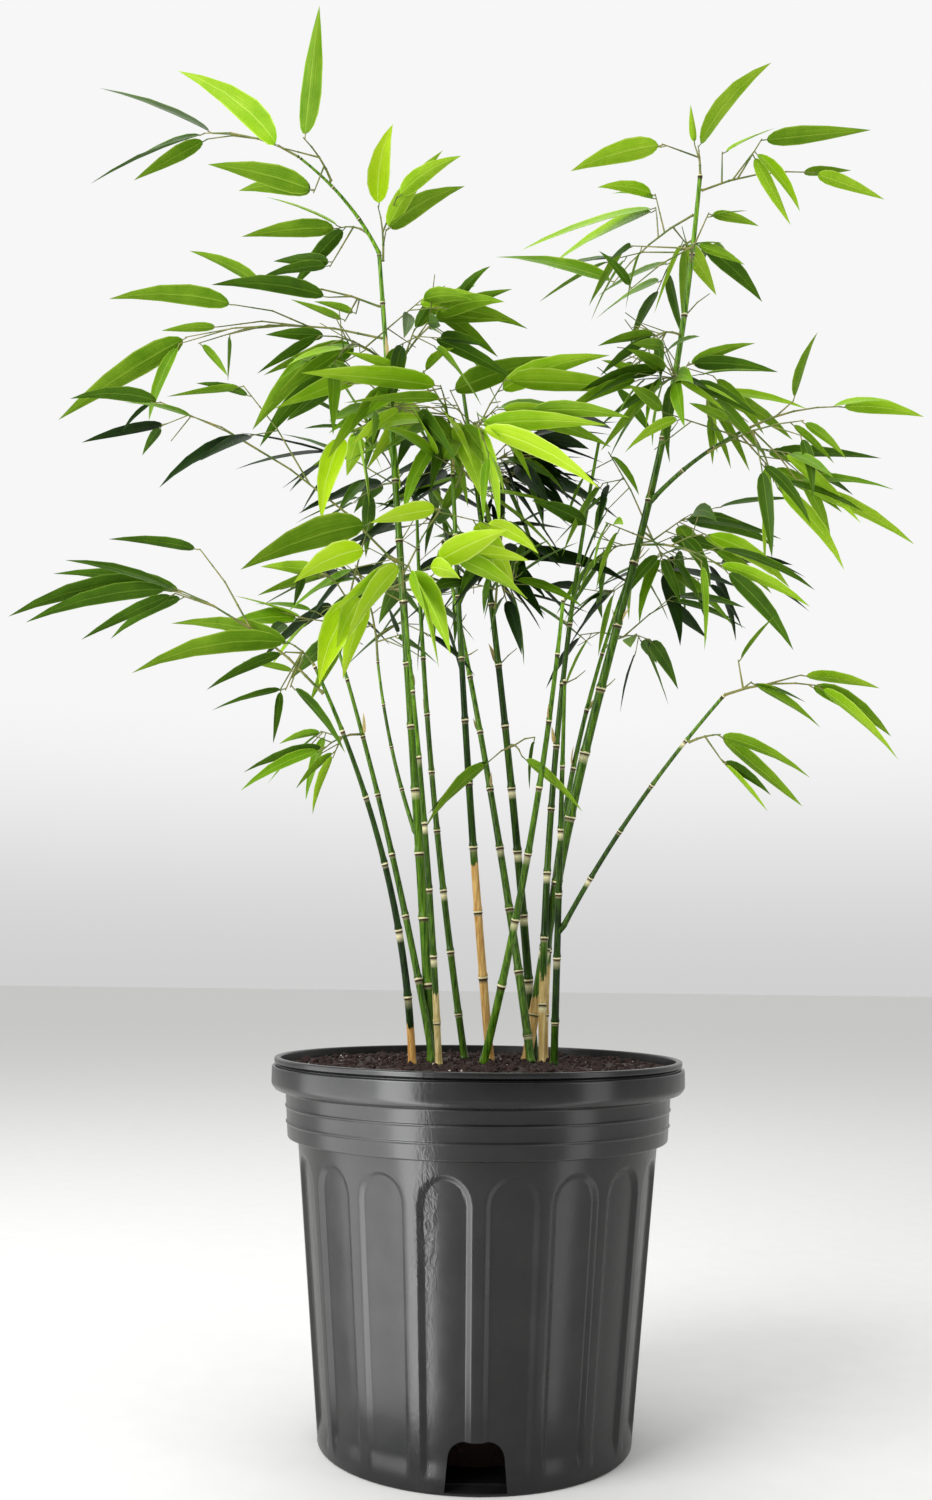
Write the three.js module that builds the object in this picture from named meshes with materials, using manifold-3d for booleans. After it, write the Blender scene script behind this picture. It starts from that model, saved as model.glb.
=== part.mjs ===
// A clump of bamboo growing in a fluted nursery pot.
// Millimetres, +Z up. The origin is the centre of the pot's flat underside, and the front is -Y.
import * as THREE from 'three';
import { mergeVertices } from 'three/addons/utils/BufferGeometryUtils.js';
import Module from 'manifold-3d';

const wasm = await Module();
wasm.setup();

// ---- driving dimensions -------------------------------------------------------------------

const CLEAR = 0.3; // running gap between pieces that touch

// The pot: its wall leans out from the foot to a stepped shoulder, a rolled band and a lip.
const FOOT_R = 102.6;
const WALL_LEAN = 0.0973; // radius gained per millimetre of height
const WALL = 2;
const FLOOR = 3;
const BODY_TOP_Z = 190.6;
const SHOULDER_R = 128.1;
const SHOULDER_TOP_Z = 221.4;
const SHOULDER_LEAN = 0.078;
const RIDGES_Z = [201.9, 212.2]; // two fine lines round the shoulder
const RIDGE_HALF = 1;
const RIDGE_HEIGHT = 0.7;
const BAND_R = 140;
const BAND_Z = 223.2;
const BAND_WIDTH = 6.2; // from the band's face to the inner side
const BAND_TOP_Z = 238.4;
const LIP_R = 138.5;
const LIP_Z = 243.8;
const LIP_WIDTH = 4.2;

// Arch-topped panels pressed into the pot's wall, with narrow lands between them.
const PANELS = 18;
const PANEL_HALF = 8.5; // degrees, at the land
const PANEL_FLOOR_HALF = 6.1; // degrees, at the bottom of the recess
const PANEL_DEPTH = 2.5;
const PANEL_FOOT_Z = 6;
const ARCH_Z = 164.6;
const ARCH_RISE = 19;
const ARCH_FLOOR_RISE = 14.4;

// Drain holes at the foot of the wall.
const DRAINS = 4;
const DRAIN_WIDTH = 37;
const DRAIN_Z = 1.8;
const DRAIN_TOP_Z = 30.5;
const DRAIN_ROUND = 9;
const DRAIN_POCKET = 14; // how far the soil stands back behind the hole
const ROUND_COUNT = 36; // sides of a plain ring of the pot

const SOIL_Z = 238;
const GROUND_Z = SOIL_Z + CLEAR; // where the culms are cut
const CLUMP_Y = 20; // the clump's middle, which the leaves face away from

// Culms: round canes with a slight swelling at each node.
const CULM_SIDES = 5;
const INTERNODE = 47;
const NODE_SWELL = 1.16;
const PLAIN_RING = 0.4; // the swelling has gone at this share of the internode
const TIP_TAPER = 0.42; // tip radius over foot radius

// name, foot [x, y], tip [x, y, z], bow [x, y] at mid height, sway (a slight S), foot radius
const CULMS = [
  ['culm_01', [-45, -5], [-116, -40, 508], [15, 0], 0, 2.7],
  ['culm_02', [-31, 18], [-112, 60, 551], [5, 0], 0, 2.7],
  ['culm_03', [-32, 31], [-82, 10, 842], [1, 0], 0, 3.7],
  ['culm_04', [-27, 3], [-56, -35, 557], [3, 0], 0, 2.4],
  ['culm_05', [-9, 60], [-54, 95, 694], [-7, 0], 0, 2.7],
  ['culm_06', [9, 38], [-25, 20, 705], [-3, 0], 0, 3.1],
  ['culm_07', [38, 30], [-32, 110, 648], [4, 0], 0, 3.1],
  ['culm_08', [42, 64], [-18, 50, 759], [5, 0], 0, 3.3],
  ['culm_09', [4, 18], [55, -45, 556], [6, 0], 0, 2.9],
  ['culm_10', [46, 36], [90, 50, 711], [-11, 0], 0, 2.8],
  ['culm_11', [36, 54], [163, 0, 905], [5, 0], -7, 3.9],
  ['culm_12', [50, 72], [118, 110, 616], [-17, 0], 0, 2.7],
  ['culm_13', [53, 14], [58, -20, 505], [0, 0], 0, 2.7],
];

// Boughs: limbs that leave a culm.
// name, culm, height there, heading, rise, reach, spring, foot radius
const BOUGHS = [
  ['bough_top_left', 'culm_03', 842, 211, 40, 89, 18, 1.6],
  ['bough_mid_left', 'culm_03', 402, 139, 71, 139, -6, 1.7],
  ['bough_low_right', 'culm_13', 334, 330, 51, 196, 8, 1.9],
  ['bough_right', 'culm_11', 654, 322, 23, 89, 14, 1.9],
];
const BOUGH_SIDES = 5;
const BOUGH_STEPS = 6;
const BOUGH_TAPER = 0.6;

// Twigs and leaves.
const TWIG_SIDES = 3;
const STEM_R = 1.25; // at the host
const TWIG_R = 0.95; // where a side twig forks from its stem
const TWIG_TIP_R = 0.6;
const TWIG_SPRING = 16; // degrees that a twig sets off steeper than it ends
const STEM_STEPS = 4;
const LONG_TWIG = 60; // a side twig shorter than this is straight
const TWIG_ARCH = 0.12; // how far a side twig's middle is raised, of its length
const FORK = 0.5; // a side twig as long as the stem forks half way along it

// Leaves: keeled lances. A station is a share of the length and a half width over the width.
const LEAF_WIDTH = 0.185; // of its length
const LEAF_KEEL = 0.014; // of its length
const LEAF_CUP = 0.22; // how far an edge is lifted, of the half width
const SMALL_LEAF = 84; // a leaf shorter than this has one station, a longer one two
const SMALL_STATIONS = [[0.4, 0.5]];
const LARGE_STATIONS = [[0.24, 0.46], [0.62, 0.42]];
const LEAF_SUNK = 2; // how far a twig's last leaf reaches back into it
const LEAF_GUARD = 0.45; // room kept round a leaf
const LEAF_FREE = 0.18; // past this share of its length a leaf stays clear of its own twigs too
const LEAF_TRIES = 8;
const PINCH = 0.004; // two corners nearer than this must share an edge

// The leaves behind a twig's last one stand left and right of it by turns, and lower.
const FAN_TURN = 22; // degrees
const FAN_OPENING = 9; // degrees more for each leaf further back
const FAN_SCATTER = 16; // degrees, dealt
const FAN_DROOP = 0.07; // for each leaf further back, and as much again and more is dealt
const FAN_DROOP_DEALT = 0.12;
const FAN_SPACING = 0.13; // of the twig, between two leaves
const FAN_NEAREST = 0.3; // of the twig, where the last of them stands
const FAN_SHORTER = 0.05; // for each leaf further back
const LAST_SCATTER = 7; // degrees, more at each new try of the last leaf
const LEAF_LEAN = [18, 68]; // degrees that a blade is turned outward about its length
const LEAF_ARCH = [0.02, 0.07]; // of its length

// Foliage masses. Each has one stem, from its host, and side twigs that fork from the stem.
// name, host, place on it (a height on a culm, a share of a bough), twigs, filling twigs
// A twig: heading, rise and reach from the host, then heading, pitch and length of its last leaf,
// and how many leaves it carries. Filling twigs are short ones, dealt round the host by the rule.
const MASSES = [
  ['spray_top_left', 'bough_top_left', 1, [
    [168, 22, 77, 190, 17, 90, 1], [172, 19, 80, 198, -36, 100, 1], [164, 20, 83, 171, -27, 65, 1]], 0],
  ['spray_top_upright', 'bough_top_left', 0.7, [
    [238, 31, 38, 303, 80, 100, 1], [212, 19, 46, 170, 41, 109, 1], [235, -44, 24, 184, 12, 81, 2]], 0],
  ['spray_crown_left', 'culm_03', 836, [
    [108, 79, 53, 49, 80, 80, 1], [286, 36, 26, 10, 36, 74, 2], [295, 47, 49, 348, 30, 57, 1],
    [180, 50, 36, 150, 35, 45, 1]], 0],
  ['spray_left_a', 'bough_top_left', 0.2, [[131, 27, 45, 173, -2, 79, 3], [132, -11, 49, 166, -4, 61, 2]], 0],
  ['spray_left_b', 'culm_03', 800, [
    [190, 4, 92, 170, 30, 69, 1], [208, -5, 45, 187, 2, 87, 2], [149, -5, 36, 167, 26, 51, 1],
    [134, 10, 33, 161, 23, 40, 1]], 0],
  ['spray_left_c', 'culm_03', 775, [
    [177, 1, 154, 174, -33, 118, 1], [177, -1, 159, 195, -73, 68, 1], [201, 2, 116, 186, -1, 90, 1],
    [195, -4, 125, 180, -5, 43, 1], [198, -8, 119, 282, -83, 40, 1], [175, 0, 145, 348, -50, 38, 1]], 0],
  ['spray_left_d', 'culm_03', 755, [
    [240, -10, 87, 200, -39, 57, 2], [248, -16, 72, 191, -42, 70, 2], [243, -22, 78, 277, -80, 61, 1]], 2],
  ['spray_left_e', 'culm_03', 600, [
    [192, 31, 210, 189, -2, 65, 2], [194, 46, 174, 170, -4, 60, 2], [192, 30, 215, 209, -53, 34, 1]], 0],
  ['spray_mid_left', 'culm_06', 698, [
    [264, 9, 72, 192, -2, 99, 1], [232, 28, 72, 200, 8, 40, 2], [242, 39, 58, 28, 45, 35, 1]], 3],
  ['spray_mid_right', 'culm_06', 660, [
    [320, 56, 89, 348, -8, 100, 2], [263, 43, 71, 346, -12, 83, 2], [261, 72, 72, 14, 24, 94, 1]], 2],
  ['spray_mid_front', 'culm_03', 703, [[275, 9, 56, 214, -49, 54, 2], [281, -8, 56, 220, -46, 45, 2]], 3],
  ['spray_crown_mid', 'culm_03', 745, [[357, 50, 65, 21, 48, 41, 3], [322, 50, 40, 0, 45, 49, 2]], 2],
  ['spray_front_a', 'culm_08', 710, [[273, -18, 117, 346, -31, 98, 3], [276, -26, 135, 259, -74, 56, 2]], 3],
  ['spray_back_mid', 'culm_08', 686, [[64, 19, 57, 6, -21, 104, 4], [48, 4, 38, 12, -52, 80, 3]], 3],
  ['spray_front_b', 'culm_04', 557, [
    [272, 11, 56, 196, -58, 70, 2], [301, 45, 74, 194, -17, 50, 1], [276, 4, 66, 334, -72, 74, 2]], 2],
  ['spray_left_f', 'culm_02', 543, [[294, 52, 105, 186, -23, 100, 1], [265, 35, 75, 169, -16, 54, 2]], 1],
  ['spray_inner_left', 'bough_mid_left', 1, [[220, 72, 75, 180, -35, 64, 3], [16, 61, 38, 180, -39, 56, 2]], 2],
  ['spray_inner_back', 'culm_07', 644, [
    [329, -18, 59, 354, -14, 105, 2], [330, -25, 43, 348, -47, 71, 2], [20, -30, 40, 11, -32, 64, 1]], 1],
  ['spray_inner_front', 'culm_08', 575, [[283, 61, 73, 332, -51, 50, 2], [279, -6, 56, 308, -68, 50, 2]], 2],
  ['spray_right_a', 'culm_11', 779, [
    [221, -20, 33, 193, -40, 57, 2], [203, -50, 53, 180, 21, 34, 1], [169, -36, 65, 0, -54, 51, 1]], 0],
  ['spray_right_b', 'culm_11', 730, [
    [321, 57, 30, 0, -5, 68, 2], [281, -5, 40, 348, -33, 58, 2], [264, -11, 60, 343, -39, 45, 2]], 3],
  ['spray_right_tip', 'bough_right', 1, [[351, 11, 66, 350, -11, 59, 2], [0, 33, 39, 0, 70, 57, 1]], 0],
  ['spray_right_c', 'bough_right', 0.6, [
    [318, 2, 77, 340, -47, 43, 2], [345, -6, 45, 7, 0, 85, 2], [292, -29, 76, 287, -81, 68, 2],
    [314, -37, 73, 0, -53, 74, 3], [332, -30, 79, 0, -28, 88, 2]], 2],
  ['spray_right_d', 'culm_11', 618, [
    [310, -25, 91, 347, -53, 75, 2], [305, -24, 72, 0, -89, 65, 1], [314, -5, 61, 0, -33, 72, 2]], 1],
  ['spray_right_e', 'culm_11', 629, [[61, -11, 44, 180, -72, 58, 2], [128, 64, 81, 0, -56, 41, 2]], 2],
  ['spray_crown_right', 'culm_11', 905, [
    [87, 72, 33, 5, 52, 98, 1], [180, 81, 27, 235, 79, 31, 1], [212, 18, 40, 188, -22, 78, 2]], 0],
  ['spray_crown_right_b', 'culm_11', 893, [
    [353, 6, 88, 10, -15, 60, 2], [324, 24, 57, 353, 2, 80, 1], [332, 25, 49, 341, -60, 64, 2],
    [326, 52, 32, 346, 21, 43, 1]], 0],
  ['spray_crown_right_c', 'culm_11', 874, [
    [148, -28, 80, 174, 15, 98, 1], [117, 33, 63, 175, -17, 113, 2], [135, 41, 51, 192, 0, 48, 2]], 1],
  ['spray_crown_right_d', 'culm_11', 836, [
    [262, -19, 70, 343, -33, 42, 2], [277, 17, 48, 0, -14, 38, 2], [207, -33, 67, 202, 41, 36, 1]], 1],
  ['spray_low_left_a', 'culm_01', 508, [
    [180, 41, 26, 185, -8, 108, 2], [208, 18, 23, 191, -29, 60, 1], [138, -8, 20, 180, 10, 39, 1],
    [243, -35, 41, 192, -20, 51, 1], [225, -37, 36, 256, -75, 41, 1], [236, -39, 31, 346, -50, 62, 1]], 0],
  ['spray_low_left_b', 'culm_01', 490, [
    [181, 33, 141, 191, -17, 105, 2], [187, 32, 129, 186, -16, 99, 2], [176, 33, 131, 180, -28, 73, 2],
    [175, 48, 140, 180, 6, 66, 1]], 0],
  ['spray_low_left_c', 'culm_02', 476, [[237, -22, 51, 190, -29, 66, 2], [248, -25, 48, 180, -72, 48, 2]], 1],
  ['spray_low_right_a', 'bough_low_right', 0.8, [
    [326, 4, 25, 0, -41, 73, 2], [320, -33, 33, 341, -50, 45, 2]], 0],
  ['spray_low_right_b', 'bough_low_right', 1, [
    [351, 5, 64, 348, -46, 71, 2], [0, 16, 55, 0, -9, 54, 1], [311, 15, 24, 347, -36, 54, 2],
    [330, 66, 26, 0, 52, 41, 1]], 0],
  ['spray_low_mid', 'culm_08', 468, [
    [277, -14, 70, 346, -43, 59, 2], [255, -18, 63, 192, -48, 70, 2], [287, -1, 61, 180, -85, 38, 1]], 0],
  ['spray_back_left_a', 'culm_05', 690, [
    [120, 10, 120, 140, -20, 85, 4], [160, 25, 90, 175, -10, 80, 4], [85, 40, 80, 90, 20, 75, 3]], 3],
  ['spray_back_left_b', 'culm_05', 600, [
    [140, 0, 110, 150, -30, 80, 4], [100, 20, 100, 110, -15, 80, 4], [175, 15, 70, 190, -30, 70, 3]], 1],
  ['spray_back_a', 'culm_07', 615, [
    [75, 35, 120, 80, 5, 85, 4], [110, 5, 100, 120, -20, 80, 4], [45, 0, 90, 30, -25, 80, 3]], 0],
  ['spray_back_right_a', 'culm_12', 612, [
    [45, 30, 120, 40, -10, 85, 4], [80, 20, 110, 85, -15, 80, 4], [10, 15, 90, 0, -30, 80, 3]], 2],
  ['spray_back_right_b', 'culm_12', 560, [
    [60, 15, 100, 60, -25, 75, 4], [20, 35, 80, 20, -15, 70, 2], [100, 20, 80, 110, -20, 70, 3]], 0],
  ['spray_back_crown', 'culm_11', 855, [
    [95, 10, 120, 100, -10, 85, 4], [70, 25, 90, 60, 5, 80, 3], [125, 15, 100, 140, -10, 75, 3]], 0],
];
const FILL_TURN = [35, 110]; // degrees to either side of the stem
const FILL_RISE = [-10, 45];
const FILL_REACH = [26, 58];
const FILL_DROOP = [20, 65]; // degrees that its leaves hang below it
const FILL_LEAF = [58, 84];
const FILL_LEAVES = 3;
const MOST_LEAVES = 4; // on one twig

// ---- materials ----------------------------------------------------------------------------

const plastic = { color: 0x2b2c2c, roughness: 0.42, metalness: 0 };
const pottingMix = { color: 0x2a1a14, roughness: 0.95, metalness: 0 };
const cane = { color: 0x3c5a1e, roughness: 0.5, metalness: 0 };
const foliage = { color: 0x5a9a1e, roughness: 0.55, metalness: 0 };

// ---- small helpers ------------------------------------------------------------------------

function aim(heading, rise) {
  const h = THREE.MathUtils.degToRad(heading);
  const r = THREE.MathUtils.degToRad(rise);
  return new THREE.Vector3(Math.cos(r) * Math.cos(h), Math.cos(r) * Math.sin(h), Math.sin(r));
}

function headingOf(v) {
  return THREE.MathUtils.radToDeg(Math.atan2(v.y, v.x));
}

function riseOf(v) {
  return THREE.MathUtils.radToDeg(Math.asin(THREE.MathUtils.clamp(v.z / v.length(), -1, 1)));
}

function polar(radius, degrees, z) {
  const a = THREE.MathUtils.degToRad(degrees);
  return new THREE.Vector3(radius * Math.cos(a), radius * Math.sin(a), z);
}

// One seed for each thing that is dealt: a mass, a twig of it, and a leaf of that.
function seedOf(mass, twig, item) {
  return 4096 * (mass + 1) + 64 * twig + item;
}

// A repeatable run of numbers between 0 and 1.
function dealer(seed) {
  let state = seed >>> 0;
  return () => {
    state = (state + 0x6d2b79f5) >>> 0;
    let t = Math.imul(state ^ (state >>> 15), state | 1);
    t = (t + Math.imul(t ^ (t >>> 7), t | 61)) ^ t;
    return ((t ^ (t >>> 14)) >>> 0) / 4294967296;
  };
}

function shape(points, faces) {
  const geometry = new THREE.BufferGeometry();
  const numbers = new Float32Array(points.flatMap((p) => [p.x, p.y, p.z]));
  geometry.setAttribute('position', new THREE.BufferAttribute(numbers, 3));
  geometry.setIndex(faces.flat());
  return geometry;
}

// Rings of points joined into one closed skin. Two neighbouring rings may differ in count: they
// run the same way round from the same start, and the faces step along whichever lags.
function skin(rings) {
  const points = rings.flat();
  const faces = [];
  let start = 0;
  for (let i = 0; i + 1 < rings.length; i++) {
    const a = rings[i].length;
    const b = rings[i + 1].length;
    const next = start + a;
    let j = 0;
    let k = 0;
    while (j < a || k < b) {
      const here = start + (j % a);
      const there = next + (k % b);
      if (k >= b || (j < a && (j + 0.5) * b <= (k + 0.5) * a)) {
        faces.push([here, start + ((j + 1) % a), there]);
        j++;
      } else {
        faces.push([here, next + ((k + 1) % b), there]);
        k++;
      }
    }
    start = next;
  }
  const first = rings[0].length;
  for (let j = 1; j + 1 < first; j++) faces.push([0, j + 1, j]);
  const last = rings[rings.length - 1].length;
  for (let j = 1; j + 1 < last; j++) faces.push([start, start + j, start + j + 1]);
  return shape(points, faces);
}

function solidOf(geometry) {
  const bare = geometry.clone();
  bare.deleteAttribute('normal');
  bare.deleteAttribute('uv');
  const merged = mergeVertices(bare, 1e-4);
  const mesh = new wasm.Mesh({
    numProp: 3,
    vertProperties: new Float32Array(merged.attributes.position.array),
    triVerts: new Uint32Array(merged.index.array),
  });
  return new wasm.Manifold(mesh);
}

function geometryOf(solid) {
  const mesh = solid.getMesh();
  const geometry = new THREE.BufferGeometry();
  geometry.setAttribute('position', new THREE.BufferAttribute(new Float32Array(mesh.vertProperties), 3));
  geometry.setIndex(new THREE.BufferAttribute(new Uint32Array(mesh.triVerts), 1));
  return geometry;
}

// How many pairs of a joined solid's corners nearly meet with no edge between them.
function pinches(solid) {
  const { vertProperties: at, triVerts } = solid.getMesh();
  const count = at.length / 3;
  const edges = new Set();
  let found = 0;
  triVerts.forEach((a, i) => {
    const b = triVerts[i % 3 === 2 ? i - 2 : i + 1];
    edges.add(Math.min(a, b) * count + Math.max(a, b));
  });
  for (let a = 0; a < count; a++) {
    for (let b = a + 1; b < count; b++) {
      const away = Math.hypot(...[0, 1, 2].map((i) => at[3 * a + i] - at[3 * b + i]));
      if (away < PINCH && !edges.has(a * count + b)) found++;
    }
  }
  return found;
}

// Limbs, twigs and leaves that later growth keeps clear of, each with the node it belongs to.
const grown = [];

function remember(solid, owner) {
  grown.push({ solid, owner, box: solid.boundingBox() });
}

function apart(a, b) {
  return [0, 1, 2].some((i) => a.min[i] > b.max[i] || b.min[i] > a.max[i]);
}

function touches(solid, isOther) {
  const box = solid.boundingBox();
  return grown.some((other) => isOther(other) && !apart(box, other.box)
    && solid.intersect(other.solid).volume() > 1e-4);
}

// ---- pot and soil -------------------------------------------------------------------------

function wallRadius(z) {
  return FOOT_R + WALL_LEAN * z;
}

function shoulderRadius(z) {
  return SHOULDER_R + SHOULDER_LEAN * (z - BODY_TOP_Z - 1.3);
}

function roundRing(radius, z) {
  return Array.from({ length: ROUND_COUNT }, (_, i) => polar(radius, -90 + (360 * i) / ROUND_COUNT, z));
}

// The rings of the pot's inner side from the floor up, or of a filling that stands `gap` off it.
function lining(gap) {
  const inner = (z) => wallRadius(z) - PANEL_DEPTH - WALL - gap;
  return [
    roundRing(inner(FLOOR), FLOOR + gap),
    roundRing(inner(BODY_TOP_Z), BODY_TOP_Z - 1),
    roundRing(SHOULDER_R - WALL - 0.6 - gap, BODY_TOP_Z + 3 + gap),
    roundRing(shoulderRadius(SHOULDER_TOP_Z) - WALL - gap, SHOULDER_TOP_Z - 0.5 + gap),
    roundRing(BAND_R - BAND_WIDTH - gap, BAND_Z + 2 + gap),
  ];
}

// Column angles across one panel, from its centre: land edge, foot of the slope, floor.
const PANEL_COLUMNS = [-PANEL_HALF, -PANEL_FLOOR_HALF, 0, PANEL_FLOOR_HALF, PANEL_HALF];

// A ring through the panels: each column's height and its depth below the land are given.
function panelRing(heightOf, depthOf) {
  const ring = [];
  for (let i = 0; i < PANELS; i++) {
    const centre = -90 + (360 * (i + 0.5)) / PANELS;
    for (const column of PANEL_COLUMNS) {
      const z = heightOf(Math.abs(column));
      ring.push(polar(wallRadius(z) - depthOf(Math.abs(column)), centre + column, z));
    }
  }
  return ring;
}

function archHeight(halfWidth, rise, offset) {
  const share = Math.min(1, offset / halfWidth);
  return ARCH_Z + rise * Math.sqrt(1 - share * share);
}

function recess(offset) {
  return offset <= PANEL_FLOOR_HALF ? PANEL_DEPTH : 0;
}

function potShell() {
  const ridge = (z) => [
    roundRing(shoulderRadius(z - RIDGE_HALF), z - RIDGE_HALF),
    roundRing(shoulderRadius(z) + RIDGE_HEIGHT, z),
    roundRing(shoulderRadius(z + RIDGE_HALF), z + RIDGE_HALF),
  ];
  return skin([
    roundRing(FOOT_R - 2, 0),
    panelRing(() => 2, () => 0),
    panelRing(() => PANEL_FOOT_Z, () => 0),
    panelRing(() => PANEL_FOOT_Z + 4, recess),
    panelRing((offset) => archHeight(PANEL_FLOOR_HALF, ARCH_FLOOR_RISE, offset), recess),
    panelRing((offset) => archHeight(PANEL_HALF, ARCH_RISE, offset) + 0.4, () => 0),
    roundRing(wallRadius(BODY_TOP_Z), BODY_TOP_Z),
    roundRing(SHOULDER_R - 1, BODY_TOP_Z + 0.2),
    roundRing(SHOULDER_R, BODY_TOP_Z + 1.6),
    ...RIDGES_Z.flatMap(ridge),
    roundRing(shoulderRadius(SHOULDER_TOP_Z), SHOULDER_TOP_Z),
    roundRing(BAND_R - 2.4, BAND_Z),
    roundRing(BAND_R, BAND_Z + 3.4),
    roundRing(BAND_R, BAND_TOP_Z),
    roundRing(LIP_R - 1.4, BAND_TOP_Z + 0.8),
    roundRing(LIP_R, BAND_TOP_Z + 2.2),
    roundRing(LIP_R, LIP_Z - 1),
    roundRing(LIP_R - 1, LIP_Z),
    roundRing(LIP_R - LIP_WIDTH, LIP_Z),
    ...lining(0).reverse(),
  ]);
}

// The arch that a drain hole is cut with, from radius `from` outward to radius `to`.
function drainCutter(width, bottom, top, from, to) {
  const half = width / 2;
  const outline = new THREE.Shape();
  outline.moveTo(-half, bottom);
  outline.lineTo(half, bottom);
  outline.lineTo(half, top - DRAIN_ROUND);
  outline.absarc(half - DRAIN_ROUND, top - DRAIN_ROUND, DRAIN_ROUND, 0, Math.PI / 2, false);
  outline.lineTo(-half + DRAIN_ROUND, top);
  outline.absarc(-half + DRAIN_ROUND, top - DRAIN_ROUND, DRAIN_ROUND, Math.PI / 2, Math.PI, false);
  outline.lineTo(-half, bottom);
  const geometry = new THREE.ExtrudeGeometry(outline, {
    depth: to - from,
    bevelEnabled: false,
    curveSegments: 3,
  });
  geometry.rotateX(Math.PI / 2);
  geometry.translate(0, -from, 0);
  return geometry;
}

function withDrains(solid, width, bottom, top, from, to) {
  let cut = solid;
  for (let i = 0; i < DRAINS; i++) {
    const cutter = drainCutter(width, bottom, top, from, to);
    cutter.rotateZ((2 * Math.PI * i) / DRAINS);
    cut = cut.subtract(solidOf(cutter));
  }
  return cut;
}

const SOIL_FOOT_R = wallRadius(FLOOR) - PANEL_DEPTH - WALL - CLEAR;

function pot() {
  return withDrains(solidOf(potShell()), DRAIN_WIDTH, DRAIN_Z, DRAIN_TOP_Z, SOIL_FOOT_R - 4, FOOT_R + 8);
}

// The potting mix fills the pot to just under its lip.
function soil() {
  const fill = skin([...lining(CLEAR), roundRing(BAND_R - BAND_WIDTH - CLEAR, SOIL_Z)]);
  return withDrains(solidOf(fill), DRAIN_WIDTH + 2, 0, DRAIN_TOP_Z + 1, SOIL_FOOT_R - DRAIN_POCKET, FOOT_R + 8);
}

// ---- culms and boughs ---------------------------------------------------------------------

// The culm's centre line, by its share of the height.
class CulmCurve extends THREE.Curve {
  constructor([, foot, tip, bow, sway, radius]) {
    super();
    this.foot = new THREE.Vector3(foot[0], foot[1], GROUND_Z);
    this.tip = new THREE.Vector3(...tip);
    this.bow = new THREE.Vector3(...bow, 0);
    this.sway = sway;
    this.radius = radius;
  }

  getPoint(share, target = new THREE.Vector3()) {
    target.lerpVectors(this.foot, this.tip, share);
    target.addScaledVector(this.bow, 4 * share * (1 - share));
    target.x += this.sway * Math.sin(2 * Math.PI * share);
    return target;
  }

  shareAt(z) {
    return THREE.MathUtils.clamp((z - this.foot.z) / (this.tip.z - this.foot.z), 0, 1);
  }

  // Radius at a share of the height, without the swelling of a node.
  girth(share) {
    return this.radius * (1 - (1 - TIP_TAPER) * share ** 1.4);
  }

  // Shares and radii of the rings: one at each node, and a plain one above it.
  rings() {
    const internodes = Math.round((this.tip.z - this.foot.z) / INTERNODE);
    const rings = [];
    for (let i = 0; i <= internodes; i++) {
      const swell = i > 0 && i < internodes ? NODE_SWELL : 1;
      const plain = (i + PLAIN_RING) / internodes;
      rings.push([i / internodes, this.girth(i / internodes) * swell]);
      if (i < internodes) rings.push([plain, this.girth(plain)]);
    }
    return rings;
  }
}
CulmCurve.prototype.sides = CULM_SIDES;

class BoughCurve extends THREE.QuadraticBezierCurve3 {
  girth(share) {
    return this.radius * (1 - (1 - BOUGH_TAPER) * share);
  }

  rings() {
    return Array.from({ length: BOUGH_STEPS + 1 }, (_, i) => [i / BOUGH_STEPS, this.girth(i / BOUGH_STEPS)]);
  }
}
BoughCurve.prototype.sides = BOUGH_SIDES;

// Two directions square to a curve and to each other.
function squareTo(along) {
  const side = Math.abs(along.z) > 0.9 ? new THREE.Vector3(1, 0, 0) : new THREE.Vector3(0, 0, 1);
  const across = side.addScaledVector(along, -side.dot(along)).normalize();
  return { across, up: along.clone().cross(across) };
}

// A ring of points round a curve, in the plane across it.
function ringOn(curve, share, radius, sides) {
  const at = curve.getPoint(share);
  const { across, up } = squareTo(curve.getTangent(share));
  return Array.from({ length: sides }, (_, i) => {
    const a = (2 * Math.PI * i) / sides;
    return at.clone().addScaledVector(across, radius * Math.cos(a)).addScaledVector(up, radius * Math.sin(a));
  });
}

function tube(curve, sections, sides) {
  return skin(sections.map(([share, radius]) => ringOn(curve, share, radius, sides)));
}

// A culm or bough. A culm's foot is a flat cut at the soil.
function limbSolid(curve) {
  const geometry = tube(curve, curve.rings(), curve.sides);
  const position = geometry.attributes.position;
  for (let i = 0; curve.foot && i < curve.sides; i++) position.setZ(i, GROUND_Z);
  return solidOf(geometry);
}

// How far the faceted skin of a limb stands off its centre line, towards `out`.
function skinAway(host, share, out) {
  const rings = host.rings();
  const next = Math.max(1, rings.findIndex(([at]) => at >= share));
  const [[from, thick], [to, thin]] = [rings[next - 1], rings[next]];
  const { across, up } = squareTo(host.getTangent(share));
  const corner = (2 * Math.PI) / host.sides;
  const turn = Math.atan2(out.dot(up), out.dot(across)) / corner;
  const past = (turn - Math.floor(turn) - 0.5) * corner; // from the middle of the facet
  const radius = THREE.MathUtils.mapLinear(share, from, to, thick, thin);
  return (radius * Math.cos(corner / 2)) / Math.cos(past);
}

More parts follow.
